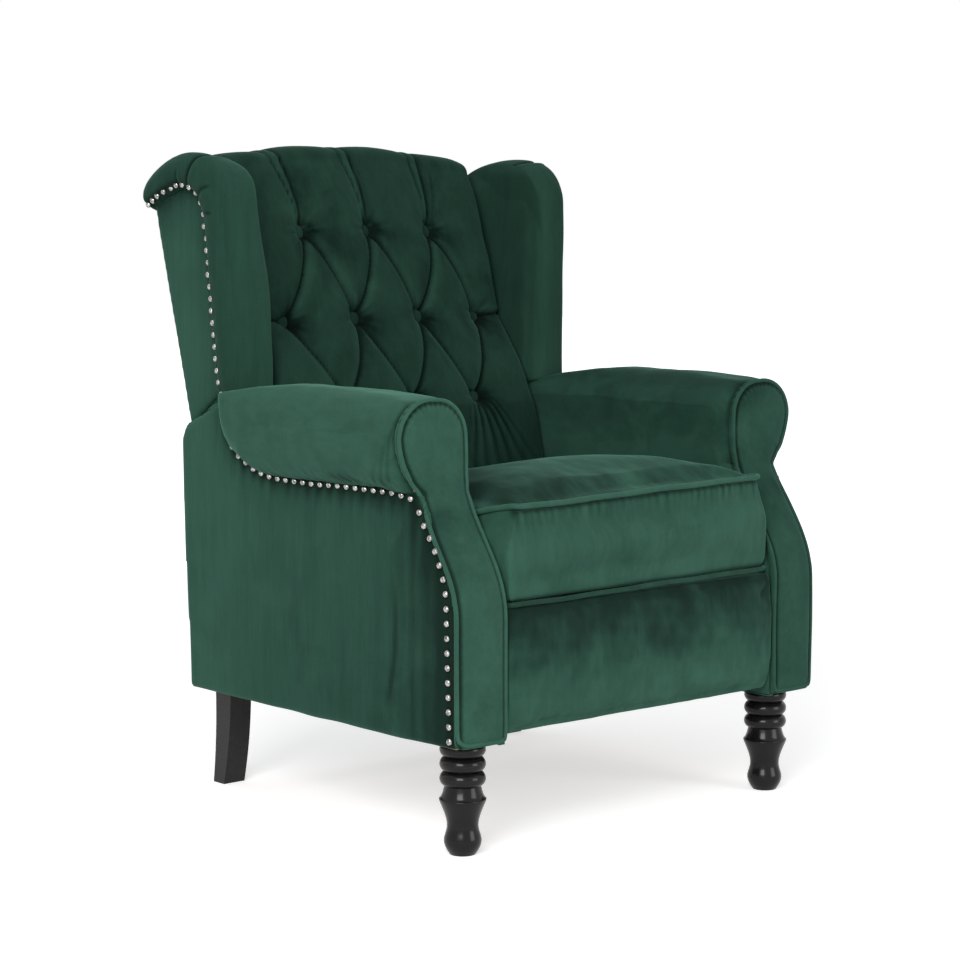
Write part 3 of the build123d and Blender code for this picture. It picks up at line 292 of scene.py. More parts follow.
class Reading:
    """One output socket of a recipe, with arithmetic that adds its Math nodes."""

    def __init__(self, recipe: Recipe, socket: bpy.types.NodeSocket) -> None:
        """Wrap a socket."""
        self.recipe, self.socket = recipe, socket

    def _math(self, operation: str, first: object, second: object, clamp: bool = False) -> "Reading":
        """A Math node on two values."""
        node = self.recipe.node("ShaderNodeMath", {"operation": operation, "use_clamp": clamp}, {0: first, 1: second})
        return Reading(self.recipe, node.outputs[0])

    def __add__(self, other: object) -> "Reading":
        """This plus other."""
        return self._math("ADD", self, other)

    __radd__ = __add__

    def __sub__(self, other: object) -> "Reading":
        """This minus other."""
        return self._math("SUBTRACT", self, other)

    def __rsub__(self, other: object) -> "Reading":
        """Other minus this."""
        return self._math("SUBTRACT", other, self)

    def __mul__(self, other: object) -> "Reading":
        """This times other."""
        return self._math("MULTIPLY", self, other)

    __rmul__ = __mul__

    def clamped(self) -> "Reading":
        """This, kept from 0 to 1."""
        return self._math("ADD", self, 0.0, clamp=True)

    def contrast(self, low: float, high: float) -> "Reading":
        """This, with low sent to 0 and high to 1 in a soft step.

        Args:
            low: The reading that becomes 0.
            high: The reading that becomes 1.

        Returns:
            The new reading.
        """
        node = self.recipe.node("ShaderNodeMapRange", {"interpolation_type": "SMOOTHSTEP"}, {
            "Value": self, "From Min": low, "From Max": high,
        })
        return Reading(self.recipe, node.outputs[0])


@dataclass(frozen=True)
class Velvet:
    """Deep green velvet whose pile is brushed in marks and streaks, with painted shade in its folds and hollows,
    painted highlights on its ridges, and a painted shade level for each piece.
    """

    nap: Nap
    name: str = "velvet"
    # Painted shade: the near-black colour that deep painted folds go to.
    black: Colour = (0.0012, 0.0060, 0.0042)
    deep: Colour = (0.0070, 0.0300, 0.0205)
    lit: Colour = (0.0390, 0.1180, 0.0820)
    sheen: float = 0.30
    sheen_tint: Colour = (0.22, 0.52, 0.40)
    marks: float = 1.0
    # Painted shade: below 1 the piece's colours, sheen and specular are darkened, making a shaded copy of the velvet.
    tone: float = 1.0

    def material(self) -> bpy.types.Material:
        """Make the velvet.

        Returns:
            The material.
        """
        recipe = Recipe(f"{self.name}_{self.nap.name.lower()}")
        black, deep, lit = (
            tuple(self.tone * part for part in colour) for colour in (self.black, self.deep, self.lit))
        where = recipe.noise(4.2, 2.0, 0.3).contrast(0.36, 0.68)
        marks = recipe.noise(13.0, 4.0, 0.8).contrast(0.28, 0.72)
        broad = recipe.noise(3.0, 2.0, 0.4)
        fine = recipe.noise(3.0, 3.0, 0.2, self.nap.value)
        streaks = recipe.noise(1.0, 5.0, 0.6, self.nap.value)
        pile = recipe.noise(330.0, 3.0, 0.0)
        lie = Reading(recipe, recipe.node("ShaderNodeAttribute", {"attribute_name": "lie"}, {}).outputs["Fac"])
        ridge = Reading(recipe, recipe.node("ShaderNodeNewGeometry", {}, {}).outputs["Pointiness"])
        # Random nap marks and streaks, plus painted light: ridges (pointiness) painted lighter, hollows painted
        # darker, and the painted light and shade recorded on the mesh added in.
        brush_marks_and_painted_light = (
            0.52 + (0.40 - marks) * where * (0.34 * self.marks) + (broad - 0.5) * (0.4 * self.marks)
            + (streaks - 0.5) * (0.24 + 0.20 * self.marks) + (fine - 0.5) * 0.28 + (pile - 0.5) * 0.20
            + (ridge - 0.5) * 2.2 + lie * 0.75
        ).clamped()
        # Painted shade: where the recorded painted shade is deep, the colour goes towards near black.
        painted_fold_shade = (lie * -1.0 - 0.18).clamped()
        recipe.feed(
            Base_Color=recipe.mix(painted_fold_shade, recipe.blend(brush_marks_and_painted_light, deep, lit), (*black, 1.0)),
            Roughness=0.94 - brush_marks_and_painted_light * 0.14,
            Sheen_Weight=self.sheen * self.tone, Sheen_Roughness=0.42, Sheen_Tint=(*self.sheen_tint, 1.0),
            Specular_IOR_Level=0.15 * self.tone,
        )
        recipe.bump(recipe.noise(1500.0, 2.0) * 0.6 + fine * 0.5, 0.12, 0.0006)
        return recipe.material


@dataclass(frozen=True)
class BlackLacquer:
    """Black satin lacquer on turned and sawn legs, rubbed a little on the ridges."""

    name: str = "black_lacquer"
    colour: Colour = (0.0065, 0.0063, 0.0065)
    worn: Colour = (0.020, 0.019, 0.019)

    def material(self) -> bpy.types.Material:
        """Make the lacquer.

        Returns:
            The material.
        """
        recipe = Recipe(self.name)
        ridge = Reading(recipe, recipe.node("ShaderNodeNewGeometry", {}, {}).outputs["Pointiness"])
        rub = (ridge.contrast(0.52, 0.62) * recipe.noise(60.0, 4.0)).clamped()
        grain = recipe.noise(1.0, 4.0, 0.3, (140.0, 140.0, 9.0))
        recipe.feed(
            Base_Color=recipe.blend(rub, self.colour, self.worn),
            Roughness=0.16 + grain * 0.12 + rub * 0.1, Specular_IOR_Level=0.16,
            Coat_Weight=0.10, Coat_Roughness=0.08,
        )
        recipe.bump(grain, 0.04, 0.0006)
        return recipe.material


@dataclass(frozen=True)
class BrightNickel:
    """Polished nickel on the upholstery nails."""

    name: str = "bright_nickel"
    colour: Colour = (0.44, 0.43, 0.41)
    dull: Colour = (0.16, 0.15, 0.14)

    def material(self) -> bpy.types.Material:
        """Make the nickel.

        Returns:
            The material.
        """
        recipe = Recipe(self.name)
        tarnish = recipe.noise(310.0, 2.0).contrast(0.42, 0.62)
        recipe.feed(
            Base_Color=recipe.blend(tarnish, self.colour, self.dull), Metallic=1.0, Roughness=0.16 + tarnish * 0.12
        )
        return recipe.material


@dataclass(frozen=True)
class PlainSteel:
    """Sheet steel of the mechanism, painted or zinc plated."""

    name: str
    colour: Colour
    shade: Colour
    metallic: float
    roughness: float

    def material(self) -> bpy.types.Material:
        """Make the steel.

        Returns:
            The material.
        """
        recipe = Recipe(self.name)
        rolled = recipe.noise(1.0, 4.0, 0.2, (90.0, 14.0, 90.0))
        wear = recipe.noise(34.0, 4.0, 0.6).contrast(0.45, 0.75)
        recipe.feed(
            Base_Color=recipe.blend(wear * 0.6 + rolled * 0.4, self.colour, self.shade),
            Metallic=self.metallic, Roughness=self.roughness + rolled * 0.12,
        )
        recipe.bump(rolled, 0.05, 0.0004)
        return recipe.material


@dataclass(frozen=True)
class FrameTimber:
    """Sawn poplar of the hidden frame."""

    name: str = "frame_timber"
    pale: Colour = (0.52, 0.36, 0.20)
    dark: Colour = (0.30, 0.18, 0.085)

    def material(self) -> bpy.types.Material:
        """Make the timber.

        Returns:
            The material.
        """
        recipe = Recipe(self.name)
        grain = recipe.noise(1.0, 6.0, 1.4, (42.0, 4.0, 42.0))
        pores = recipe.noise(1.0, 3.0, 0.0, (420.0, 30.0, 420.0)).contrast(0.5, 0.75)
        recipe.feed(
            Base_Color=recipe.blend((grain.contrast(0.3, 0.7) * 0.8 + pores * 0.2).clamped(), self.pale, self.dark),
            Roughness=0.62 + pores * 0.2,
        )
        recipe.bump(grain + pores * 0.5, 0.15, 0.0008)
        return recipe.material


@dataclass(frozen=True)
class ElasticWebbing:
    """Woven black elastic webbing with paler ribs."""

    name: str = "elastic_webbing"
    dark: Colour = (0.035, 0.033, 0.032)
    rib: Colour = (0.16, 0.15, 0.14)

    def material(self) -> bpy.types.Material:
        """Make the webbing.

        Returns:
            The material.
        """
        recipe = Recipe(self.name)
        ribs = Reading(recipe, recipe.node(
            "ShaderNodeTexWave", {"bands_direction": "X"}, {"Vector": recipe.place, "Scale": 60.0}
        ).outputs["Fac"])
        yarn = recipe.noise(520.0, 2.0)
        recipe.feed(Base_Color=recipe.blend((ribs * 0.6 + yarn * 0.3).clamped(), self.dark, self.rib), Roughness=0.88)
        recipe.bump(ribs + yarn * 0.5, 0.3, 0.0006)
        return recipe.material


# ---------------------------------------------------------------- soft goods
class Piece:
    """A new mesh piece of the chair, with the steps that shape and place it."""

    def __init__(self, name: str, shape: bmesh.types.BMesh) -> None:
        """Turn a bmesh into an object at the origin.

        Args:
            name: The object's name.
            shape: Its bmesh, which is freed.
        """
        mesh = bpy.data.meshes.new(name)
        shape.to_mesh(mesh)
        shape.free()
        self.obj = bpy.data.objects.new(name, mesh)
        bpy.context.scene.collection.objects.link(self.obj)

    @classmethod
    def from_nodes(cls, name: str, nodes: Sequence[str], side: Optional[Side] = None,
                   adjust: Optional[Callable[[np.ndarray], np.ndarray]] = None) -> "Piece":
        """Copy CAD nodes into one piece, with their doubles merged.

        Args:
            name: The piece's name.
            nodes: The nodes to copy.
            side: Keep only the solids on this side.
            adjust: Moves the copied points before they are used.

        Returns:
            The new piece.
        """
        shape = bmesh.new()
        for node in nodes:
            shape.from_mesh(frame["nodes"][node].data)
        bmesh.ops.remove_doubles(shape, verts=shape.verts, dist=1e-5)
        if side is not None:
            off = [v for v in shape.verts if v.co.x * side.value < 0]
            bmesh.ops.delete(shape, geom=off, context="VERTS")
        if adjust is not None:
            places = adjust(np.array([v.co for v in shape.verts]))
            for vert, place in zip(shape.verts, places):
                vert.co = place
        return cls(name, shape)

    @classmethod
    def mirrored(cls, name: str, other: "Piece") -> "Piece":
        """The mirror image of another piece on the chair's other side.

        Args:
            name: The new piece's name.
            other: The piece to mirror.

        Returns:
            The new piece.
        """
        shape = bmesh.new()
        shape.from_mesh(other.obj.data)
        bmesh.ops.scale(shape, vec=(-1.0, 1.0, 1.0), verts=shape.verts)
        bmesh.ops.reverse_faces(shape, faces=shape.faces)
        return cls(name, shape)

    @property
    def points(self) -> np.ndarray:
        """Where the mesh's points are, one row each.

        Returns:
            The points, in metres.
        """
        flat = np.zeros(len(self.obj.data.vertices) * 3, np.float32)
        self.obj.data.vertices.foreach_get("co", flat)
        return flat.reshape(-1, 3).astype(float)

    @points.setter
    def points(self, places: np.ndarray) -> None:
        """Move the mesh's points."""
        self.obj.data.vertices.foreach_set("co", places.astype(np.float32).ravel())
        self.obj.data.update()

    @property
    def normals(self) -> np.ndarray:
        """The outward direction at each point, one row each.

        Returns:
            The directions, each of length 1.
        """
        flat = np.zeros(len(self.obj.data.vertices) * 3, np.float32)
        self.obj.data.vertex_normals.foreach_get("vector", flat)
        return flat.reshape(-1, 3).astype(float)

    def settle(self) -> None:
        """Apply every modifier to the mesh."""
        graph = bpy.context.evaluated_depsgraph_get()
        graph.update()
        mesh = bpy.data.meshes.new_from_object(self.obj.evaluated_get(graph))
        self.obj.modifiers.clear()
        old, self.obj.data = self.obj.data, mesh
        bpy.data.meshes.remove(old)

    def skin(self, size: float) -> None:
        """Fuse the shape into one even skin of small faces.

        Args:
            size: The size of its faces, in metres.
        """
        remesh = self.obj.modifiers.new("skin", "REMESH")
        remesh.mode, remesh.voxel_size = "VOXEL", size
        self.settle()

    def relax(self, rounds: int, strength: float = 0.5) -> None:
        """Smooth the mesh a little.

        Args:
            rounds: How many times to smooth.
            strength: How far each round goes, up to 1.
        """
        smooth = self.obj.modifiers.new("relax", "SMOOTH")
        smooth.factor, smooth.iterations = strength, rounds
        self.settle()

    def divide(self, levels: int) -> None:
        """Subdivide the mesh smoothly.

        Args:
            levels: How many times to subdivide.
        """
        finer = self.obj.modifiers.new("divide", "SUBSURF")
        finer.levels = finer.render_levels = levels
        self.settle()

    def swell(self, cap: float, inset: float = 0.003, give: float = 0.0005, pressure: float = 4.0) -> None:
        """Fill the shape with air pressure as cloth, from a slightly smaller start.

        Args:
            cap: How far a point may stand proud of the shape, in metres.
            inset: How much smaller the shape is at the start.
            give: How far a point may sink below the shape.
            pressure: The pressure inside.
        """
        shape, outward = self.points, self.normals
        self.points = shape - outward * inset
        cloth = self.obj.modifiers.new("swell", "CLOTH")
        cloth.settings.quality = 4
        cloth.settings.use_pressure = True
        cloth.settings.uniform_pressure_force = pressure
        cloth.settings.effector_weights.gravity = 0.0
        cloth.point_cache.frame_start, cloth.point_cache.frame_end = 1, 18
        scene = bpy.context.scene
        for number in range(1, 19):
            scene.frame_set(number)
        self.settle()
        scene.frame_set(1)
        rise = ((self.points - shape) * outward).sum(axis=1)
        self.points = shape + outward * np.clip(rise, -give, cap)[:, None]

    def push(self, heights: np.ndarray) -> None:
        """Move each point along its normal by a height."""
        self.points = self.points + self.normals * heights[:, None]

    def brush(self, lie: np.ndarray) -> None:
        """Record the painted light at each point, with some random nap marks: below 0 painted shade, above 0 painted
        highlight.
        """
        layer = self.obj.data.attributes.new("lie", "FLOAT", "POINT")
        layer.data.foreach_set("value", lie.astype(np.float32))

    def finish(self, material: bpy.types.Material, body: str, slot: str,
               replaces: Sequence[str] = (), fill: Optional[float] = None) -> "Piece":
        """Dress the piece and hang it on its body.

        Args:
            material: Its finish.
            body: The body that it moves with.
            slot: The record's slot for its finish; not used.
            replaces: The CAD nodes it stands for.
            fill: For a padded piece, how full it is; not used.

        Returns:
            This piece.
        """
        self.obj.data.materials.clear()
        self.obj.data.materials.append(material)
        self.obj.data.shade_smooth()
        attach(self.obj, body)
        if replaces:
            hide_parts(*replaces)
        LOG.info("%s: %d faces on %s", self.obj.name, len(self.obj.data.polygons), body)
        return self


class Feeler:
    """Finds where straight lines meet the surface of a piece."""

    def __init__(self, *pieces: Piece) -> None:
        """Take in the pieces' surfaces."""
        shape = bmesh.new()
        for piece in pieces:
            shape.from_mesh(piece.obj.data)
        self.tree = BVHTree.FromBMesh(shape)
        shape.free()

    def touch(self, start: Vector, direction: Vector) -> Optional[Tuple[Vector, Vector]]:
        """The first place a line meets the surface, and the normal there."""
        place, normal, _, _ = self.tree.ray_cast(start, direction)
        return None if place is None else (place, normal)


def piping(name: str, path: np.ndarray, radius: float, closed: bool = False) -> Piece:
    """A round welt along a path.

    Args:
        name: The piece's name.
        path: The points of its middle line, in metres.
        radius: Half its thickness.
        closed: Whether it runs round to its start.

    Returns:
        The welt as a mesh piece.
    """
    curve = bpy.data.curves.new(name, "CURVE")
    curve.dimensions, curve.bevel_depth, curve.bevel_resolution = "3D", radius, 2
    curve.use_fill_caps = True
    spline = curve.splines.new("NURBS")
    spline.points.add(len(path) - 1)
    for point, place in zip(spline.points, path):
        point.co = (*place, 1.0)
    spline.order_u, spline.use_endpoint_u, spline.use_cyclic_u = 3, not closed, closed
    spline.resolution_u = 2
    holder = bpy.data.objects.new(name + "_line", curve)
    bpy.context.scene.collection.objects.link(holder)
    bpy.context.view_layer.update()
    mesh = bpy.data.meshes.new_from_object(holder)
    bpy.data.objects.remove(holder)
    shape = bmesh.new()
    shape.from_mesh(mesh)
    bmesh.ops.remove_doubles(shape, verts=shape.verts, dist=1e-6)
    bmesh.ops.recalc_face_normals(shape, faces=shape.faces)
    bpy.data.meshes.remove(mesh)
    return Piece(name, shape)


def nail_row(name: str, places: Sequence[Tuple[Vector, Vector]], radius: float) -> Piece:
    """Domed nails, each standing on a surface.

    Args:
        name: The piece's name.
        places: Where each nail stands, and the direction it faces.
        radius: The radius of a nail's head.

    Returns:
        All the nails as one piece.
    """
    shape = bmesh.new()
    for place, normal in places:
        made = bmesh.ops.create_uvsphere(shape, u_segments=12, v_segments=8, radius=radius)["verts"]
        bmesh.ops.delete(shape, geom=[v for v in made if v.co.z < -0.1 * radius], context="VERTS")
        made = [v for v in made if v.is_valid]
        bmesh.ops.scale(shape, vec=(1.0, 1.0, 0.70), verts=made)
        turn = normal.to_track_quat("Z", "Y").to_matrix().to_4x4()
        bmesh.ops.transform(shape, matrix=Matrix.Translation(place) @ turn, verts=made)
    return Piece(name, shape)


@dataclass
class SeatCushion:
    """The boxed seat cushion, with a welt round its top edge and one along its bottom edge."""

    velvet: Velvet
    voxel: float = 0.0055
    half_width: float = 0.2565
    front_y: float = -45.0
    seam: Point2 = (473.5, 0.0225)
    foot: Point2 = (341.0, 0.0120)
    draw_in: float = 0.060
    welt: float = 0.0042

    def level(self, line: Point2, x: np.ndarray) -> np.ndarray:
        """The height of a seam, given as its middle height and slope, at a place across, in metres."""
        return (line[0] + line[1] * x / MM) * MM

    def drawn(self, points: np.ndarray) -> np.ndarray:
        """The cushion's points, with its front corners drawn in at the seam and its top lower at the rear.

        Args:
            points: The points, one row each.

        Returns:
            The moved points.
        """
        out = points.copy()
        depth = points[:, 1] - LEG_AXIS_Y
        rise = smooth_rise(0.400, 0.476, points[:, 2])
        corner = np.exp(-np.maximum(depth + 0.045, 0) / 0.060)
        out[:, 0] *= 1 - self.draw_in * rise * corner * smooth_rise(0.10, 0.25, np.abs(points[:, 0]))
        top = smooth_rise(0.440, 0.480, points[:, 2])
        tilt = (self.seam[0] - 476.0 + self.seam[1] * points[:, 0] / MM) * MM
        out[:, 2] += top * (tilt * corner - self.fall(points[:, 0], depth) * (1 - corner))
        return out

    def fall(self, x: np.ndarray, depth: np.ndarray) -> np.ndarray:
        """How far the cushion's top lies below its front at a place across and in depth."""
        return 0.036 * smooth_rise(0.06, 0.38, depth) + 0.012 * smooth_rise(0.13, 0.25, np.abs(x))

    def shape(self, points: np.ndarray) -> Tuple[np.ndarray, np.ndarray]:
        """The relief of the cushion's seams, its top and its box.

        Args:
            points: Where the cover's points are.

        Returns:
            A height for each point, and its painted shade and highlight, with random nap marks.
        """
        x, y, z = points.T
        depth = y - LEG_AXIS_Y
        front = smooth_rise(-0.020, -0.038, depth)
        level = z - self.level(self.seam, x)
        seam = -0.0045 * front * np.exp(-(level / 0.0055) ** 2)
        overhang = 0.0040 * front * np.exp(-((level - 0.010) / 0.008) ** 2)
        low = z - self.level(self.foot, x)
        foot = -0.005 * front * np.exp(-(low / 0.006) ** 2)
        sides = smooth_rise(self.half_width - 0.012, self.half_width - 0.003, np.abs(x))
        side_seam = -0.003 * sides * np.exp(-(level / 0.006) ** 2)
        top = smooth_rise(-0.008, 0.006, level)
        near_seam = np.exp(-np.maximum(depth + 0.045, 0) / 0.050)
        gathers = 0.0006 * top * near_seam * ripple(points[:, :2], 0.020, 3, (1.0, 3.0))
        dents = top * (0.0020 * ripple(points[:, :2], 0.17, 5) + 0.0004 * ripple(points[:, :2], 0.06, 8))
        hollow = -0.003 * top * np.exp(-((x + 0.05) ** 2 + (depth - 0.06) ** 2) / 0.10 ** 2)
        box = 0.0014 * front * ripple(points[:, [0, 2]], 0.11, 12, (1.0, 0.7))
        tiny = 0.0005 * front * ripple(points[:, [0]], 0.016, 14) * np.exp(-((level + 0.012) / 0.010) ** 2)
        # Painted shade under the top welt's overhang, in a band below it and at the bottom welt, and a painted
        # highlight lower on the box front.
        lie = -0.55 * front * np.exp(-((level + 0.003) / 0.006) ** 2) * (level < 0)
        lie -= 0.18 * front * np.exp(-((level + 0.014) / 0.012) ** 2) * (0.6 + ripple(points[:, [0]], 0.018, 15))
        lie -= 0.7 * front * np.exp(-(low / 0.006) ** 2)
        lie += 0.10 * front * smooth_rise(-0.02, -0.05, level)
        brush_marks_and_painted_light = 0.10 * ripple(points[:, :2], 0.10, 16) + 0.06 * ripple(points[:, :2], 0.035, 17, (1.0, 1.8))
        # Painted shade over the top, darker to the left and towards the rear, broken by random nap marks, and a
        # darker patch at the right front.
        worn = 0.26 + 0.30 * smooth_rise(0.02, -0.16, x) + 0.06 * smooth_rise(0.06, 0.25, depth)
        lie -= top * (worn + 1.6 * brush_marks_and_painted_light)
        lie -= 0.16 * top * np.exp(-((x - 0.13) / 0.05) ** 2 - ((depth - 0.02) / 0.04) ** 2)
        return seam + overhang + foot + side_seam + gathers + dents + hollow + box + tiny, lie

    def build(self) -> None:
        """Make the cushion and its welts."""
        cover = Piece.from_nodes("seat_cushion_cover", ["seat_cushion"])
        cover.skin(self.voxel)
        cover.swell(0.012, give=0.0015)
        cover.relax(2)
        cover.points = self.drawn(cover.points)
        cover.divide(1)
        height, lie = self.shape(cover.points)
        cover.push(height)
        cover.brush(lie)
        points = cover.points
        points[:, 0] = np.clip(points[:, 0], -self.half_width, self.half_width)
        cover.points = points
        cover.finish(self.velvet.material(), "seat", "velvet", ["seat_cushion"], 0.85)
        self.welts()

    def welts(self) -> None:
        """Sew the welts round the cushion's front."""
        for name, seam, size, lift, inward, back in (
            ("seat_top_welt", self.seam, self.welt * 0.9, 1.5, 1.4, 60.0),
            ("seat_bottom_welt", self.foot, self.welt * 0.78, -0.3, 2.6, 40.0),
        ):
            half, front, corner = self.half_width / MM - 3.0, self.front_y, 14.0
            half_front = half * (1 - self.draw_in) if name == "seat_top_welt" else half
            plan = [(-half, back), (-half, back * 0.5), (-half_front, front + corner)]
            plan += arc_through(
                (-half_front, front + corner), (-half_front + 4, front + 4), (-half_front + corner, front), 5)[1:]
            plan += [(x, front) for x in np.linspace(-half_front + corner, half_front - corner, 24)[1:]]
            plan += arc_through(
                (half_front - corner, front), (half_front - 4, front + 4), (half_front, front + corner), 5)[1:]
            plan += [(half, back * 0.5), (half, back)]
            line = []
            for x, y in plan:
                z = seam[0] + seam[1] * x + lift + 0.5 * math.sin(x * 0.05) + 0.4 * math.sin(x * 0.021 + 1)
                z -= 22.0 * max(0.0, (y - front - 20.0) / 85.0) ** 1.5
                line.append(at(x, y + inward, z))
            cord = piping(name, np.array(line), size)
            # Painted shade on the bottom welt under the cushion's overhang; the top welt painted a touch lighter.
            cord.brush(np.full(len(cord.points), 0.05 if name == "seat_top_welt" else -0.42))
            cord.finish(self.velvet.material(), "seat", "velvet")


@dataclass
class TuftedBack:
    """The back cushion: diamond tufting with covered buttons, and pleats up over its crest."""

    velvet: Velvet
    half: float = 251.5
    arch: float = 21.0
    foot: float = 27.0
    crest: float = 687.0
    crest_radius: float = 30.0
    side_radius: float = 20.0
    rear_depth: float = 8.0
    pitch: float = 126.0
    rows: Tuple[float, float, float] = (532.0, 388.0, 247.0)
    stations: Tuple[Tuple[float, float, float], ...] = (
        (0.0, 88.0, 88.0), (27.0, 91.0, 98.0), (137.0, 128.0, 137.0), (232.0, 150.0, 138.0),
        (310.0, 138.0, 121.0), (382.0, 122.0, 98.0), (460.0, 118.0, 98.0), (560.0, 110.0, 95.0),
        (620.0, 100.0, 90.0), (650.0, 94.0, 86.0), (760.0, 92.0, 82.0),
    )
    well: float = 10.0
    button: float = 0.0115

    def on_rake(self, x: np.ndarray, up: np.ndarray, depth: np.ndarray) -> np.ndarray:
        """Places on the raked back, given across, up and forward in millimetres, as metres in the frame.

        Args:
            x: Places across, in millimetres.
            up: Places up the rake.
            depth: Places forward of it.

        Returns:
            The places in the frame, in metres.
        """
        length = math.hypot(1.0, 0.31)
        y = 520.7 + (0.31 * up - depth) / length
        z = 300.0 + (up + 0.31 * depth) / length
        return np.stack([x * MM, y * MM + LEG_AXIS_Y, z * MM], axis=-1)

    def front(self, x: np.ndarray, up: np.ndarray) -> np.ndarray:
        """How far forward the plain cushion comes at a place.

        Args:
            x: Places across.
            up: Places up the rake.

        Returns:
            How far forward of the rake, in millimetres.
        """
        ups, middles, sides = np.array(self.stations).T
        middle, side = np.interp(up, ups, middles), np.interp(up, ups, sides)
        return middle - (middle - side) * np.clip(np.abs(x) / self.half, 0, 1) ** 2.2

    def buttons(self) -> List[Tuple[float, float]]:
        """The places of the buttons: three, four and three.

        Returns:
            Their places across and up, in millimetres.
        """
        p = self.pitch
        upper = [(i * p, self.rows[0]) for i in (-1, 0, 1)]
        middle = [((i + 0.5) * p, self.rows[1]) for i in (-2, -1, 0, 1)]
        lower = [(i * p, self.rows[2]) for i in (-1, 0, 1)]
        return upper + middle + lower

    def bow(self, start: Point2, end: Point2, swing: float) -> np.ndarray:
        """A fold's line from start to end, swung sideways by swing at its middle.

        Args:
            start: The line's start, across and up.
            end: Its end.
            swing: How far its middle is swung sideways.

        Returns:
            The line's points, one row each.
        """
        t = np.linspace(0, 1, 13)[:, None]
        a, b = np.array(start), np.array(end)
        bend = (a + b) / 2 + np.array([swing * 2, 0.0])
        return a * (1 - t) ** 2 + 2 * bend * t * (1 - t) + b * t ** 2

    def folds(self) -> List[Tuple[np.ndarray, float, float, float]]:
        """Every fold, as its line, its depth, its width and the lip on its left.

        Returns:
            One entry for each fold.
        """
        places = self.buttons()
        upper, middle, lower = places[:3], places[3:7], places[7:]
        found = []
        for i in range(3):
            found.append((self.bow(upper[i], middle[i], 11.0), 7.5, 3.2, 1.6))
            found.append((self.bow(upper[i], middle[i + 1], 4.0), 4.4, 5.5, 0.5))
            found.append((self.bow(lower[i], middle[i], -5.0), 4.4, 5.0, 0.5))
            found.append((self.bow(lower[i], middle[i + 1], 9.0), 7.0, 3.2, 1.4))
            lean = (-30.0, -18.0, 6.0)[i]
            x, up = upper[i]
            found.append((self.bow((x, up), (x + lean, self.crest + 56), 9.0), 6.5, 3.0, 1.8))
            found.append((self.bow((x - 4, up + 16), (x + lean - 24, self.crest + 50), 6.0), 2.8, 3.4, 0.8))
            found.append((self.bow((x + 5, up + 12), (x + lean + 26, self.crest - 50), 5.0), 2.0, 4.0, 0.3))
        for x, up in (middle[0], middle[3]):
            found.append((self.bow((x, up), (math.copysign(self.half + 14, x), up + 6), 0.0), 7.5, 3.4, 1.8))
        return found

    def relief(self, x: np.ndarray, s: np.ndarray) -> Tuple[np.ndarray, np.ndarray]:
        """How far the tufting lifts or sinks the cover at places on its unrolled sheet.

        Args:
            x: Places across, in millimetres.
            s: Places up, measured along the sheet.

        Returns:
            A height for each place, in millimetres, and its painted shade and highlight there.
        """
        places = np.stack([x, s], axis=1)
        nearest = np.full(len(x), 1e9)
        sunk, lie = np.zeros(len(x)), np.zeros(len(x))
        for line, depth, width, lip in self.folds():
            gap, along, side = distance_to_path(places, line)
            nearest = np.minimum(nearest, gap)
            swell = 1.0 - 0.40 * np.sin(np.pi * np.clip(along, 0, 1))
            fade = 1.0 - smooth_rise(0.90, 1.0, along) * (line[-1][1] > self.crest - 100)
            valley = depth * swell * fade * np.exp(-(gap / width) ** 1.25)
            rise = lip * swell * fade * np.exp(-((gap - width * 1.9) / (width * 1.0)) ** 2) * (side > 0)
            sunk = np.maximum(sunk, valley) - rise
            # Painted shade down each fold, more on its right side, and a painted highlight along its lip on the left.
            crisp = fade * depth / 7.5
            dark = -0.80 * crisp * np.exp(-(gap / (0.62 * width)) ** 1.6)
            dark -= 0.38 * crisp * np.exp(-gap / 14.0) * (side < 0)
            bright = 0.32 * crisp * np.exp(-((gap - 8.0) / 7.0) ** 2) * (side > 0)
            lie = np.where(np.abs(dark + bright) > np.abs(lie), dark + bright, lie)
        pillow = 10.0 * (1 - np.exp(-nearest / 24.0)) - 3.0
        inside = smooth_rise(self.rows[2] - 150, self.rows[2] - 10, s)
        inside = inside * smooth_rise(self.half + 4, self.half - 30, np.abs(x))
        inside = inside * (1 - 0.6 * smooth_rise(self.rows[0] + 40, self.rows[0] + 140, s))
        height = pillow * inside - sunk
        for number, (bx, bs) in enumerate(self.buttons()):
            reach = np.hypot(x - bx, s - bs)
            turn = np.arctan2(s - bs, x - bx)
            height -= self.well * np.exp(-(reach / 15.0) ** 2.2)
            height -= 6.0 * np.exp(-(reach / 36.0) ** 2)
            pinch = np.sin(turn * 9 + number * 1.7) + 0.7 * np.sin(turn * 15 + number)
            ring = smooth_rise(9, 15, reach) * np.exp(-(reach / 27.0) ** 2)
            height += 1.0 * pinch * ring
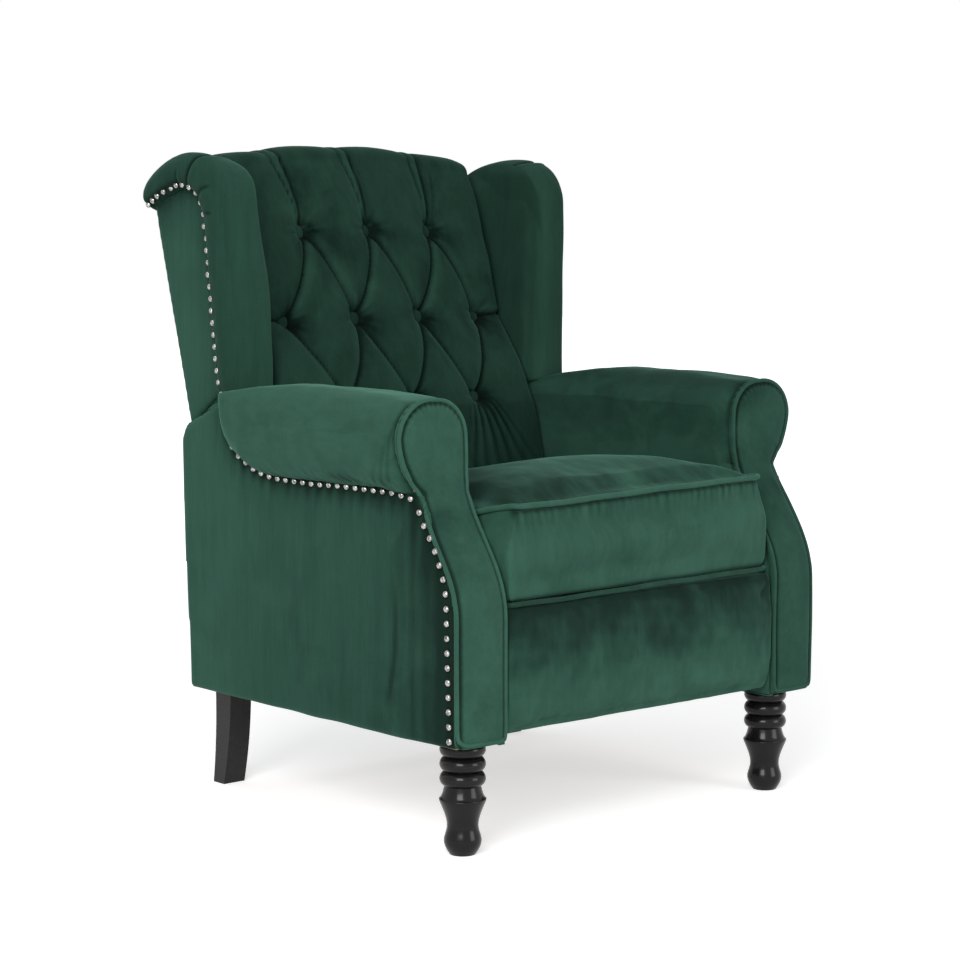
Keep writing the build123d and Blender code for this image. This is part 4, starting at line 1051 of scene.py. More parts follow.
            # Painted light round each button: painted highlights on the pucker ridges, painted shade in the well
            # below and to the right, painted highlights above and to the left.
            lie += 0.14 * pinch * ring
            lie -= 0.95 * np.exp(-(np.hypot(x - bx - 4, s - bs + 3) / 15.0) ** 2.4)
            lie += 0.22 * np.exp(-(np.hypot(x - bx + 12, s - bs - 13) / 9.0) ** 2)
            lie -= 0.34 * np.exp(-(np.hypot(x - bx - 24, s - bs + 18) / 28.0) ** 2)
            lie += 0.26 * np.exp(-(np.hypot(x - bx + 30, s - bs - 30) / 30.0) ** 2)
        for bx, bs in self.buttons()[7:]:
            below = np.maximum(bs - s, 0.01)
            turn = (x - bx - 0.30 * below) / (below + 42)
            reach = np.hypot(x - bx, s - bs)
            spread = smooth_rise(0.70, 0.30, np.abs(turn)) * smooth_rise(10, 30, reach) * (s < bs)
            fan = np.sin(turn * 38 + 0.6 * np.sin(bx)) * np.exp(-(reach / 130.0) ** 2) * spread
            height += 2.4 * fan
            # Painted light and shade on the fan of folds below the lower buttons, a little darker overall.
            lie += 0.40 * fan - 0.10 * spread * np.exp(-(reach / 130.0) ** 2)
        return height, lie

    def sheet(self) -> Piece:
        """The cover: a grid rolled round the front, the sides and the crest, closed at the rear.

        Returns:
            The cover, not yet closed at its rim.
        """
        across, rows = 190, 270
        shape = bmesh.new()
        bmesh.ops.create_grid(shape, x_segments=across, y_segments=rows, size=0.5)
        flat = np.array([v.co for v in shape.verts])
        u, v = flat[:, 0] * 2, flat[:, 1] + 0.5
        run = self.crest - self.crest_radius - self.foot
        roll = self.crest_radius * math.pi * 0.5
        tail = 34.0
        s = v * (run + roll + tail)
        turn = np.clip((s - run) / roll, 0, 1) * math.pi / 2
        up = self.foot + np.minimum(s, run) + self.crest_radius * np.sin(turn) - np.maximum(s - run - roll, 0)
        forward = np.cos(turn)
        side_depth = 62.0
        radius = self.side_radius - 10.0 * smooth_rise(self.crest - 200, self.crest - 60, up)
        edge = self.half - radius
        reach = edge + radius * math.pi / 2 + side_depth
        q = np.abs(u) * reach
        bend = np.clip((q - edge) / (radius * math.pi / 2), 0, 1) * math.pi / 2
        x = np.sign(u) * (np.minimum(q, edge) + radius * np.sin(bend))
        back = radius * (1 - np.cos(bend)) + np.maximum(q - edge - radius * math.pi / 2, 0)
        arched = up - self.arch * (x / self.half) ** 2 * smooth_rise(self.crest - 260, self.crest - 20, up)
        unrolled = np.sign(u) * q
        plain = self.front(x, np.minimum(up, self.crest - 20)) - back
        depth = np.maximum(self.rear_depth + forward * (plain - self.rear_depth), 4.0)
        places = self.on_rake(x, arched, depth)
        for vert, place in zip(shape.verts, places):
            vert.co = place
        bmesh.ops.recalc_face_normals(shape, faces=shape.faces)
        piece = Piece("back_cushion_cover", shape)
        if piece.normals[:, 1].mean() > 0:
            piece.obj.data.flip_normals()
        height, lie = self.relief(unrolled, self.foot + s)
        near = smooth_rise(1.0, 0.0, (q - edge - 10) / (reach - edge - 10))
        height = height * near + 0.9 * ripple(np.stack([x, s], axis=1), 95.0, 21) * near
        # Painted shade where the cover turns round the sides towards the rear.
        piece.brush(lie * near - 0.5 * smooth_rise(0.0, 40.0, q - edge - radius * 1.4))
        flat_share = smooth_rise(edge + 20, edge - 20, q) * smooth_rise(run + 10, run - 60, s)
        forward = np.array([0.0, -1.0, 0.31]) / math.hypot(1.0, 0.31)
        way = piece.normals * (1 - flat_share)[:, None] + forward * flat_share[:, None]
        piece.points = piece.points + way * (height * MM)[:, None]
        return piece

    def build(self) -> None:
        """Make the cushion's cover and set its buttons."""
        cover = self.sheet()
        shape = bmesh.new()
        shape.from_mesh(cover.obj.data)
        rim = [e for e in shape.edges if e.is_boundary]
        bmesh.ops.holes_fill(shape, edges=rim, sides=0)
        bmesh.ops.triangulate(shape, faces=[f for f in shape.faces if len(f.verts) > 4])
        shape.to_mesh(cover.obj.data)
        shape.free()
        points = cover.points
        limit = (self.half + 2.5) * MM
        points[:, 0] = np.clip(points[:, 0], -limit, limit)
        cover.points = points
        feeler = Feeler(cover)
        cover.finish(self.velvet.material(), "back", "velvet", ["back_cushion"], 0.8)
        self.set_buttons(feeler)

    def set_buttons(self, feeler: Feeler) -> None:
        """Put a covered button at the bottom of each tuft.

        Args:
            feeler: Finds the surface of the cover.
        """
        shape = bmesh.new()
        for number, (x, up) in enumerate(self.buttons()):
            start = Vector(self.on_rake(np.array(x), np.array(up), np.array(260.0)))
            end = Vector(self.on_rake(np.array(x), np.array(up), np.array(0.0)))
            found = feeler.touch(start, (end - start).normalized())
            if found is None:
                LOG.warning("no surface for button %d", number)
                continue
            made = bmesh.ops.create_uvsphere(shape, u_segments=24, v_segments=14, radius=self.button)["verts"]
            bmesh.ops.scale(shape, vec=(1.0, 1.0, 0.50), verts=made)
            outward = (start - end).normalized()
            turn = outward.to_track_quat("Z", "Y").to_matrix().to_4x4()
            bmesh.ops.transform(shape, matrix=Matrix.Translation(found[0] + outward * 0.0045) @ turn, verts=made)
        caps = Piece("back_button_caps", shape)
        normals = caps.normals
        # Painted shade on the buttons, lighter where they face forward.
        caps.brush(0.25 * np.clip(-normals[:, 1], 0, 1) - 0.42)
        caps.finish(self.velvet.material(), "back", "velvet", ["back_buttons"])


@dataclass
class FootrestPanel:
    """The padded panel below the seat."""

    velvet: Velvet
    voxel: float = 0.0045
    half_width: float = 0.2604

    def build(self) -> None:
        """Make the panel's cover."""
        def widened(points: np.ndarray) -> np.ndarray:
            """Fill the panel's width and bring its face forward a little.

            Args:
                points: The points, one row each.

            Returns:
                The moved points.
            """
            out = points.copy()
            out[:, 0] *= self.half_width / 0.257
            out[:, 1] -= 0.006 * (points[:, 1] - LEG_AXIS_Y < -0.030)
            return out

        cover = Piece.from_nodes("footrest_cover", ["footrest_pad"], adjust=widened)
        cover.skin(self.voxel)
        cover.swell(0.005)
        cover.relax(1)
        points = cover.points
        x, _, z = points.T
        front = smooth_rise(0.0, -0.5, cover.normals[:, 1])
        soft = 0.0018 * ripple(points[:, [0, 2]], 0.16, 31) + 0.0007 * ripple(points[:, [0, 2]], 0.05, 32)
        hem = -0.0016 * np.exp(-((z - 0.178) / 0.009) ** 2) * (1 + 0.5 * ripple(points[:, [0]], 0.04, 33))
        tuck = -0.0020 * np.exp(-((np.abs(x) - 0.240) / 0.012) ** 2) * (0.6 + 0.6 * ripple(points[:, [2]], 0.05, 34))
        cover.push(front * (soft + hem + tuck))
        # Painted shade along the top under the seat, at the sides beside the arms, over the upper part and in a
        # darker patch, with random clouds and a painted lighter lower edge.
        top = np.exp(-np.maximum(0.331 - z, 0) / 0.016) * (0.8 + 0.4 * ripple(points[:, [0]], 0.09, 35))
        side = np.exp(-np.maximum(0.252 - np.abs(x), 0) / 0.014) * (0.5 + 0.5 * ripple(points[:, [2]], 0.05, 36))
        shade = smooth_rise(0.205, 0.315, z + 0.016 * ripple(points[:, [0, 2]], 0.10, 37))
        patch = 0.30 * np.exp(-((x - 0.055) / 0.030) ** 2 - ((z - 0.252) / 0.020) ** 2)
        cloudy = 0.12 * ripple(points[:, [0, 2]], 0.075, 38) + 0.07 * ripple(points[:, [0, 2]], 0.028, 39)
        cover.brush(-0.42 * top - 0.22 * side - 0.52 * shade - patch + cloudy + 0.10 * smooth_rise(0.25, 0.18, z))
        cover.finish(self.velvet.material(), "footrest", "velvet", ["footrest_pad"], 0.7)


@dataclass
class RolledArm:
    """One arm: the roll with the inside in one cover, the side panel, the scroll front, its welt and its nails."""

    side: Side
    velvet: Velvet
    panel_velvet: Velvet
    nickel: BrightNickel
    voxel: float = 0.005
    welt: float = 0.0028
    nail: float = 0.0050
    nail_pitch: float = 20.1
    roll_nails: Tuple[Point2, ...] = (
        (457, 524), (442, 512), (425, 504), (404, 495), (382, 490), (361, 487), (340, 486), (265, 485), (205, 487),
        (132, 487), (89, 487), (60, 484), (47, 482),
    )
    front_nails: Tuple[Point2, ...] = (
        (29, 465), (21, 450), (10, 436), (-1, 420), (-9, 405), (-17, 387), (-24, 369), (-26, 348), (-27, 329),
        (-28, 286), (-30, 235), (-31, 202), (-32, 165),
    )
    roll_end: Tuple[Point2, ...] = ((488, 650), (484, 600), (481, 578), (477, 558), (471, 543), (464, 531))
    setback: float = 0.009
    twin: Optional["RolledArm"] = None
    skin: Optional[Piece] = None

    def node(self, stem: str) -> str:
        """The CAD node of this side with that stem."""
        return f"{stem}_{self.side.word}"

    def seam_gap(self, points: np.ndarray) -> Tuple[np.ndarray, np.ndarray, np.ndarray]:
        """Where points lie beside the nailed seam in side view.

        Args:
            points: The points, one row each.

        Returns:
            The distance in millimetres, the share of the way along, and the side, above 0 within the roll.
        """
        places = np.stack([(points[:, 1] - LEG_AXIS_Y) / MM, points[:, 2] / MM], axis=1)
        gap, along, side = distance_to_path(places, evenly(self.roll_end + self.roll_nails + self.front_nails, 6.0))
        return gap, along, -side

    def drawn_outline(self) -> List[Point2]:
        """The scroll front's outline as it is drawn, as x and height, from the outer foot to the inner foot.

        Returns:
            Its points, as x and height in millimetres.
        """
        path = [(349.0, z) for z in np.linspace(156, 478, 24)]
        path += arc_through((349, 487), (374, 520), (385, 565), 10)
        path += arc_through((385, 565), (366, 607), (317, 622), 12)[1:]
        path += arc_through((317, 622), (271, 604), (254, 565), 12)[1:]
        path += arc_through((254, 565), (256, 525), (262, 487), 8)[1:]
        path += [(262.0, z) for z in np.linspace(478, 156, 24)]
        return path

    def sewn_outline(self) -> List[Point2]:
        """The same outline as it is sewn, a little smaller round the scroll, point for point.

        Returns:
            Its points, as x and height in millimetres.
        """
        path = [(349.0 - 4.5 * float(smooth_rise(430, 487, z)), z) for z in np.linspace(156, 478, 24)]
        path += arc_through((344.5, 487), (369, 520), (381, 562), 10)
        path += arc_through((381, 562), (363, 601), (318, 615), 12)[1:]
        path += arc_through((318, 615), (276, 599), (261, 562), 12)[1:]
        path += arc_through((261, 562), (260.5, 525), (263, 487), 8)[1:]
        path += [(262.5, z) for z in np.linspace(478, 156, 24)]
        return path

    def welt_outline(self) -> List[Point2]:
        """The welt's own line, which also runs across the foot.

        Returns:
            Its points, as x and height in millimetres.
        """
        path = self.sewn_outline()
        start = [p for p in path[:24] if p[1] > 170]
        end = [p for p in path[-24:] if p[1] > 164]
        foot = [(265.0, 159.0), (285.0, 158.0), (310.0, 158.0), (333.0, 158.5)]
        foot += arc_through((336, 159), (345, 163), (348.6, 171), 4)
        return start + path[24:-24] + end + foot

    def sewn(self, points: np.ndarray, reach: float) -> np.ndarray:
        """How far points near the scroll's outline move when it is sewn.

        Args:
            points: The points, one row each.
            reach: How far from the outline the pull fades, in millimetres.

        Returns:
            The move along x and z, in metres, one row each.
        """
        drawn, made = np.array(self.drawn_outline()), np.array(self.sewn_outline())
        places = np.stack([np.abs(points[:, 0]) / MM, points[:, 2] / MM], axis=1)
        gap, along, _ = distance_to_path(places, drawn)
        steps = np.arange(len(drawn)) / (len(drawn) - 1)
        pull = np.stack([np.interp(along, steps, (made - drawn)[:, k]) for k in (0, 1)], axis=1)
        pull *= np.exp(-gap / reach)[:, None] * MM
        pull[:, 0] *= np.sign(points[:, 0])
        return pull

    def tapered(self, points: np.ndarray) -> np.ndarray:
        """The roll's points, drawn in at the front seam, under its rear end and along the nailed seam.

        Args:
            points: The points, one row each.

        Returns:
            The moved points.
        """
        out = points.copy()
        depth = (points[:, 1] - LEG_AXIS_Y) / MM
        front = np.exp(-np.maximum(depth - 44, 0) / 15.0) * (points[:, 2] > 0.48)
        out[:, [0, 2]] += self.sewn(points, 26.0) * front[:, None]
        gap, along, side = self.seam_gap(points)
        within = np.where(side > 0, gap, 0.0)
        softness = np.interp(depth, [380, 460], [12, 26])
        limit = 0.3462 + 0.041 * (1 - np.exp(-within / softness)) + 0.02 * (along > 0.62)
        over = np.abs(out[:, 0]) > limit
        out[over, 0] = self.side.value * limit[over]
        shoulder = np.interp(depth, [0, 478, 486, 525, 559, 585], [700, 640, 590, 573, 553, 528]) * MM
        outer = smooth_rise(0.285, 0.300, np.abs(out[:, 0]))
        out[:, 2] -= outer * np.maximum(out[:, 2] - shoulder, 0) * (depth > 470)
        return out

    def roll(self) -> Piece:
        """The cover of the roll and the inside of the arm.

        Returns:
            The cover.
        """
        name = f"arm_cover_{self.side.word}"
        if self.twin is None:
            cover = Piece.from_nodes(name, [self.node("arm_roll_pad"), self.node("arm_inner_pad")])
            cover.skin(self.voxel)
            cover.swell(0.005)
            cover.relax(3)
            self.skin = Piece.mirrored("arm_pattern", cover)
            bpy.context.scene.collection.objects.unlink(self.skin.obj)
        else:
            self.twin.skin.obj.name = name
            cover = self.twin.skin
            bpy.context.scene.collection.objects.link(cover.obj)
        cover.points = self.tapered(cover.points)
        cover.relax(2)
        cover.divide(1)
        points = cover.points
        x, y, z = points.T
        outward = cover.normals[:, 0] * self.side.value
        depth = (y - LEG_AXIS_Y) / MM
        gap, along, _ = self.seam_gap(points)
        outside = smooth_rise(-0.1, 0.35, outward) * (np.abs(x) > 0.33) * (along < 0.66)
        plump = 0.0020 * outside * np.exp(-((gap - 26.0) / 16.0) ** 2)
        wrinkle = ripple(points[:, [1, 2]], 0.022, 41, (1.0, 1.6))
        pucker = 0.0007 * outside * np.exp(-((gap - 8.0) / 16.0) ** 2) * wrinkle
        crescents = np.zeros(len(points))
        for place, lean, width, top in ((58.0, 0.22, 2.6, 0.585), (66.0, 0.36, 3.0, 0.560), (74.0, 0.55, 3.4, 0.530)):
            away = depth - place + (z / MM - 545) * lean
            crescents += np.exp(-(away / width) ** 2) * smooth_rise(top + 0.015, top - 0.02, z)
        crescents *= outside * smooth_rise(0.485, 0.51, z)
        ring = np.exp(-np.maximum(depth - 46, 0) / 5.0) * (z > 0.49)
        soft = 0.0013 * ripple(points, 0.13, 43) + 0.0005 * ripple(points, 0.05, 44)
        inner = smooth_rise(-0.2, -0.6, outward)
        dip = -0.0025 * inner * np.exp(-((z - 0.535) / 0.03) ** 2)
        cover.push(plump + pucker - 0.0008 * crescents - 0.0014 * ring + soft + dip)
        # Painted shade along the nailed seam, in smudges just above it, in the crescents and round the front ring;
        # the tops painted lighter on the left arm and darker on the right; the inside painted lighter lower down.
        brush_marks_and_painted_light = np.maximum(ripple(points[:, [1, 2]], 0.050, 46, (1.6, 1.0)) + 0.35 * wrinkle, 0)
        lie = -0.60 * outside * np.exp(-(gap / 5.5) ** 2)
        lie -= 0.75 * outside * np.exp(-((gap - 13.0) / 11.0) ** 2) * brush_marks_and_painted_light * smooth_rise(440, 300, depth)
        lie -= 0.22 * crescents + 0.45 * ring + 0.22 * inner * smooth_rise(0.60, 0.52, z)
        lie += 0.10 * smooth_rise(0.3, 0.9, cover.normals[:, 2]) * (1.0 if self.side is Side.LEFT else -3.6)
        lie += 0.45 * inner * smooth_rise(0.57, 0.50, z)
        cover.brush(lie)
        points = cover.points
        keep = np.abs(points[:, 0]) < 0.2545
        points[keep, 0] = self.side.value * 0.2545
        cover.points = points
        return cover.finish(
            self.velvet.material(), "base", "velvet", [self.node("arm_roll_pad"), self.node("arm_inner_pad")], 0.8)

    def panel(self) -> Piece:
        """The cover of the side panel, which returns across the rear.

        Returns:
            The cover.
        """
        def thicken(points: np.ndarray) -> np.ndarray:
            """Give the panel a wall to follow, and reach up behind the roll and forward behind the front.

            Args:
                points: The points, one row each.

            Returns:
                The moved points.
            """
            out = points.copy()
            depth = (points[:, 1] - LEG_AXIS_Y) / MM
            inner = np.abs(np.abs(points[:, 0]) - 0.343) < 0.0012
            out[inner, 0] = self.side.value * 0.3365
            out[np.abs(depth - 564) < 0.8, 1] -= 0.005
            gap, along, _ = self.seam_gap(points)
            edge = (gap < 18) & (points[:, 2] > 0.44) & (along < 0.72)
            out[edge, 2] += np.interp(depth[edge], [40, 380, 440, 462, 474, 486], [9, 10, 18, 18, 4, 2]) * MM
            out[edge, 1] -= np.interp(depth[edge], [430, 455, 480, 490], [0, 8, 8, 0]) * MM
            fore = (gap < 18) & (points[:, 2] < 0.481) & (along > 0.6) & (depth < 60)
            out[fore, 1] -= 0.005
            shoulder = np.interp(depth, [478, 486, 525, 559, 585], [640, 588, 566, 550, 528]) * MM
            out[:, 2] -= np.maximum(out[:, 2] - shoulder, 0) * (depth > 480)
            bulge = smooth_rise(430, 560, depth) * smooth_rise(0.16, 0.42, points[:, 2])
            out[:, 0] += self.side.value * 0.004 * bulge * (np.abs(points[:, 0]) > 0.30)
            out[:, 1] += 0.009 * bulge * smooth_rise(480, 560, depth)
            return out

        cover = Piece.from_nodes(f"arm_side_{self.side.word}", [self.node("arm_outer_panel")], adjust=thicken)
        cover.skin(0.0045)
        cover.relax(4)
        points = cover.points
        gap, along, _ = self.seam_gap(points)
        outward = smooth_rise(0.4, 0.9, cover.normals[:, 0] * self.side.value)
        _, y, z = points.T
        depth = (y - LEG_AXIS_Y) / MM
        crown = 0.0034 * smooth_rise(4.0, 60.0, gap) - 0.0024 * np.exp(-(gap / 7.0) ** 2)
        waves = 0.0011 * ripple(points, 0.085, 51, (1.0, 1.0, 5.0)) * smooth_rise(0.50, 0.40, z)
        pull = 0.0008 * ripple(points[:, [1]], 0.021, 52) * np.exp(-(gap / 16.0) ** 2)
        crease = np.exp(-((depth - 92 + (z / MM - 300) * 0.05 + 16 * np.sin((z - 0.18) * 14)) / 5.0) ** 2)
        crease *= smooth_rise(0.19, 0.22, z) * smooth_rise(0.40, 0.30, z)
        cover.push(outward * (crown + waves + pull - 0.0010 * crease))
        # Painted shade in a band below the nailed seam, wider beside the front, and along the crease; painted darker
        # towards the front and lighter towards the rear.
        reach = np.where(along < 0.60, 15.0, 15.0 + 33.0 * smooth_rise(0.60, 0.72, along))
        below = np.exp(-np.maximum(gap - 5, 0) / reach) * (0.85 + 0.35 * ripple(points[:, [1]], 0.030, 53))
        lie = -0.85 * outward * below - 0.35 * crease - 0.12 * smooth_rise(260, 60, depth)
        lie += 0.34 * smooth_rise(330, 560, depth) + 0.06 * ripple(points, 0.20, 55, (1.0, 1.0, 2.0))
        cover.brush(lie)
        return cover.finish(
            self.panel_velvet.material(), "base", "velvet", [self.node("arm_outer_panel")], 0.35)

    def scroll(self) -> Piece:
        """The cover of the scroll front, crowned inside its welt and rounded at its foot.

        Returns:
            The cover.
        """
        cover = Piece.from_nodes(f"arm_front_{self.side.word}", [self.node("arm_facing")])
        cover.skin(0.0042)
        cover.relax(4)
        points = cover.points
        points[:, [0, 2]] += self.sewn(points, 24.0)
        corner = np.stack([np.abs(points[:, 0]) - 0.337, points[:, 2] - 0.166], axis=1)
        far = np.linalg.norm(corner, axis=1)
        beyond = (corner[:, 0] > 0) & (corner[:, 1] < 0) & (far > 0.0115)
        corner[beyond] *= (0.0115 / far[beyond])[:, None]
        points[beyond, 0] = self.side.value * (0.337 + corner[beyond, 0])
        points[beyond, 2] = 0.166 + corner[beyond, 1]
        places = np.stack([np.abs(points[:, 0]) / MM, points[:, 2] / MM], axis=1)
        gap, along, _ = distance_to_path(places, np.array(self.sewn_outline()))
        facing = smooth_rise(-0.1, -0.6, cover.normals[:, 1])
        fall = self.setback * np.where(along < 0.30, 1.0, 0.35)
        crown = 0.0042 * (1 - np.exp(-gap / 15.0)) - fall * np.exp(-gap / 8.0)
        turn = np.arctan2(places[:, 1] - 566, places[:, 0] - 319)
        scroll_head = smooth_rise(575, 592, places[:, 1])
        gathers = scroll_head * np.exp(-(gap / 11.0) ** 2) * np.sin(turn * 30)
        groove = np.exp(-((gap - 7.0) / 2.6) ** 2)
        soft = 0.0009 * ripple(points, 0.11, 61)
        points[:, 1] -= facing * (crown + 0.0012 * gathers + soft - 0.0014 * groove)
        cover.points = points
        cover.divide(1)
        points = cover.points
        places = np.stack([np.abs(points[:, 0]) / MM, points[:, 2] / MM], axis=1)
        gap, along, _ = distance_to_path(places, np.array(self.sewn_outline()))
        turn = np.arctan2(places[:, 1] - 566, places[:, 0] - 319)
        head = smooth_rise(575, 592, places[:, 1]) * np.exp(-(gap / 12.0) ** 2)
        # Painted shade in the groove beside the welt and near the outline, painted light on the gathers at the head,
        # painted shade across the neck; on the right arm painted shade over the top of the head and the rest a touch
        # lighter.
        lie = -0.62 * np.exp(-((gap - 6.5) / 2.6) ** 2) - 0.16 * np.exp(-gap / 16.0) + 0.22 * head * np.sin(turn * 30)
        lie -= 0.34 * np.exp(-((places[:, 1] - 455) / 45.0) ** 2) * (0.7 + 0.6 * ripple(points, 0.06, 63))
        if self.side is Side.RIGHT:
            lie -= 0.30 * smooth_rise(570, 605, places[:, 1] - 0.6 * (places[:, 0] - 319))
            lie += 0.12
        cover.brush(lie)
        return cover.finish(self.velvet.material(), "base", "velvet", [self.node("arm_facing")], 0.6)

    def returns(self) -> None:
        """Wrap the velvet round to the inside of the arm's front, below the inner padding."""
        shape = bmesh.new()
        bmesh.ops.create_cube(shape, size=1.0)
        low, high = at(260.4, -42, 152.5), at(262.6, 40, 304)
        bmesh.ops.scale(shape, vec=high - low, verts=shape.verts)
        bmesh.ops.translate(shape, vec=(low + high) / 2, verts=shape.verts)
        foot_low, foot_high = at(260.4, -42, 151.0), at(270, 12, 153.6)
        made = bmesh.ops.create_cube(shape, size=1.0)["verts"]
        bmesh.ops.scale(shape, vec=foot_high - foot_low, verts=made)
        bmesh.ops.translate(shape, vec=(foot_low + foot_high) / 2, verts=made)
        bmesh.ops.scale(shape, vec=(self.side.value, 1.0, 1.0), verts=shape.verts)
        bmesh.ops.recalc_face_normals(shape, faces=shape.faces)
        Piece(f"arm_return_{self.side.word}", shape).finish(self.velvet.material(), "base", "velvet")

    def trim(self, scroll: Piece, panel: Piece) -> None:
        """Sew the welt round the scroll front, and drive the nails along the seam.

        Args:
            scroll: The cover of the scroll front.
            panel: The cover of the side panel.
        """
        feeler = Feeler(scroll)
        line = []
        for x, z in evenly(self.welt_outline(), 6.0, smooth=False):
            pull_x, pull_z = 316.0 - x, max(min(540.0, z + 60), 200) - z
            if z < 480:
                pull_z = max(0.0, 175.0 - z)
            length = math.hypot(pull_x, pull_z)
            px, pz = x + pull_x / length * 2.0, z + pull_z / length * 2.0
            found = feeler.touch(
                Vector((self.side.value * (x + pull_x / length * 5.0) * MM, -1.0, (z + pull_z / length * 5.0) * MM)),
                Vector((0, 1, 0)))
            if found is not None:
                line.append((self.side.value * px * MM, found[0].y + 0.0002, pz * MM))
        piping(f"arm_welt_{self.side.word}", np.array(line), self.welt, closed=True).finish(
            self.velvet.material(), "base", "velvet")
        surface = Feeler(panel)
        spots = []
        for path in (self.roll_nails, self.front_nails):
            for y, z in evenly(path, self.nail_pitch):
                place, normal = at(self.side.value * 349.6, y, z), Vector((self.side.value, 0.0, 0.0))
                found = surface.touch(at(self.side.value * 600, y, z), -normal)
                if found is not None and abs(found[0].x) > 0.3490:
                    place.x = found[0].x + self.side.value * 0.0004
                spots.append((place, normal))
        nail_row(f"arm_nails_{self.side.word}", spots, self.nail).finish(
            self.nickel.material(), "base", "zinc_steel")

    def build(self) -> None:
        """Make the whole arm."""
        self.roll()
        panel, scroll = self.panel(), self.scroll()
        self.returns()
        self.trim(scroll, panel)


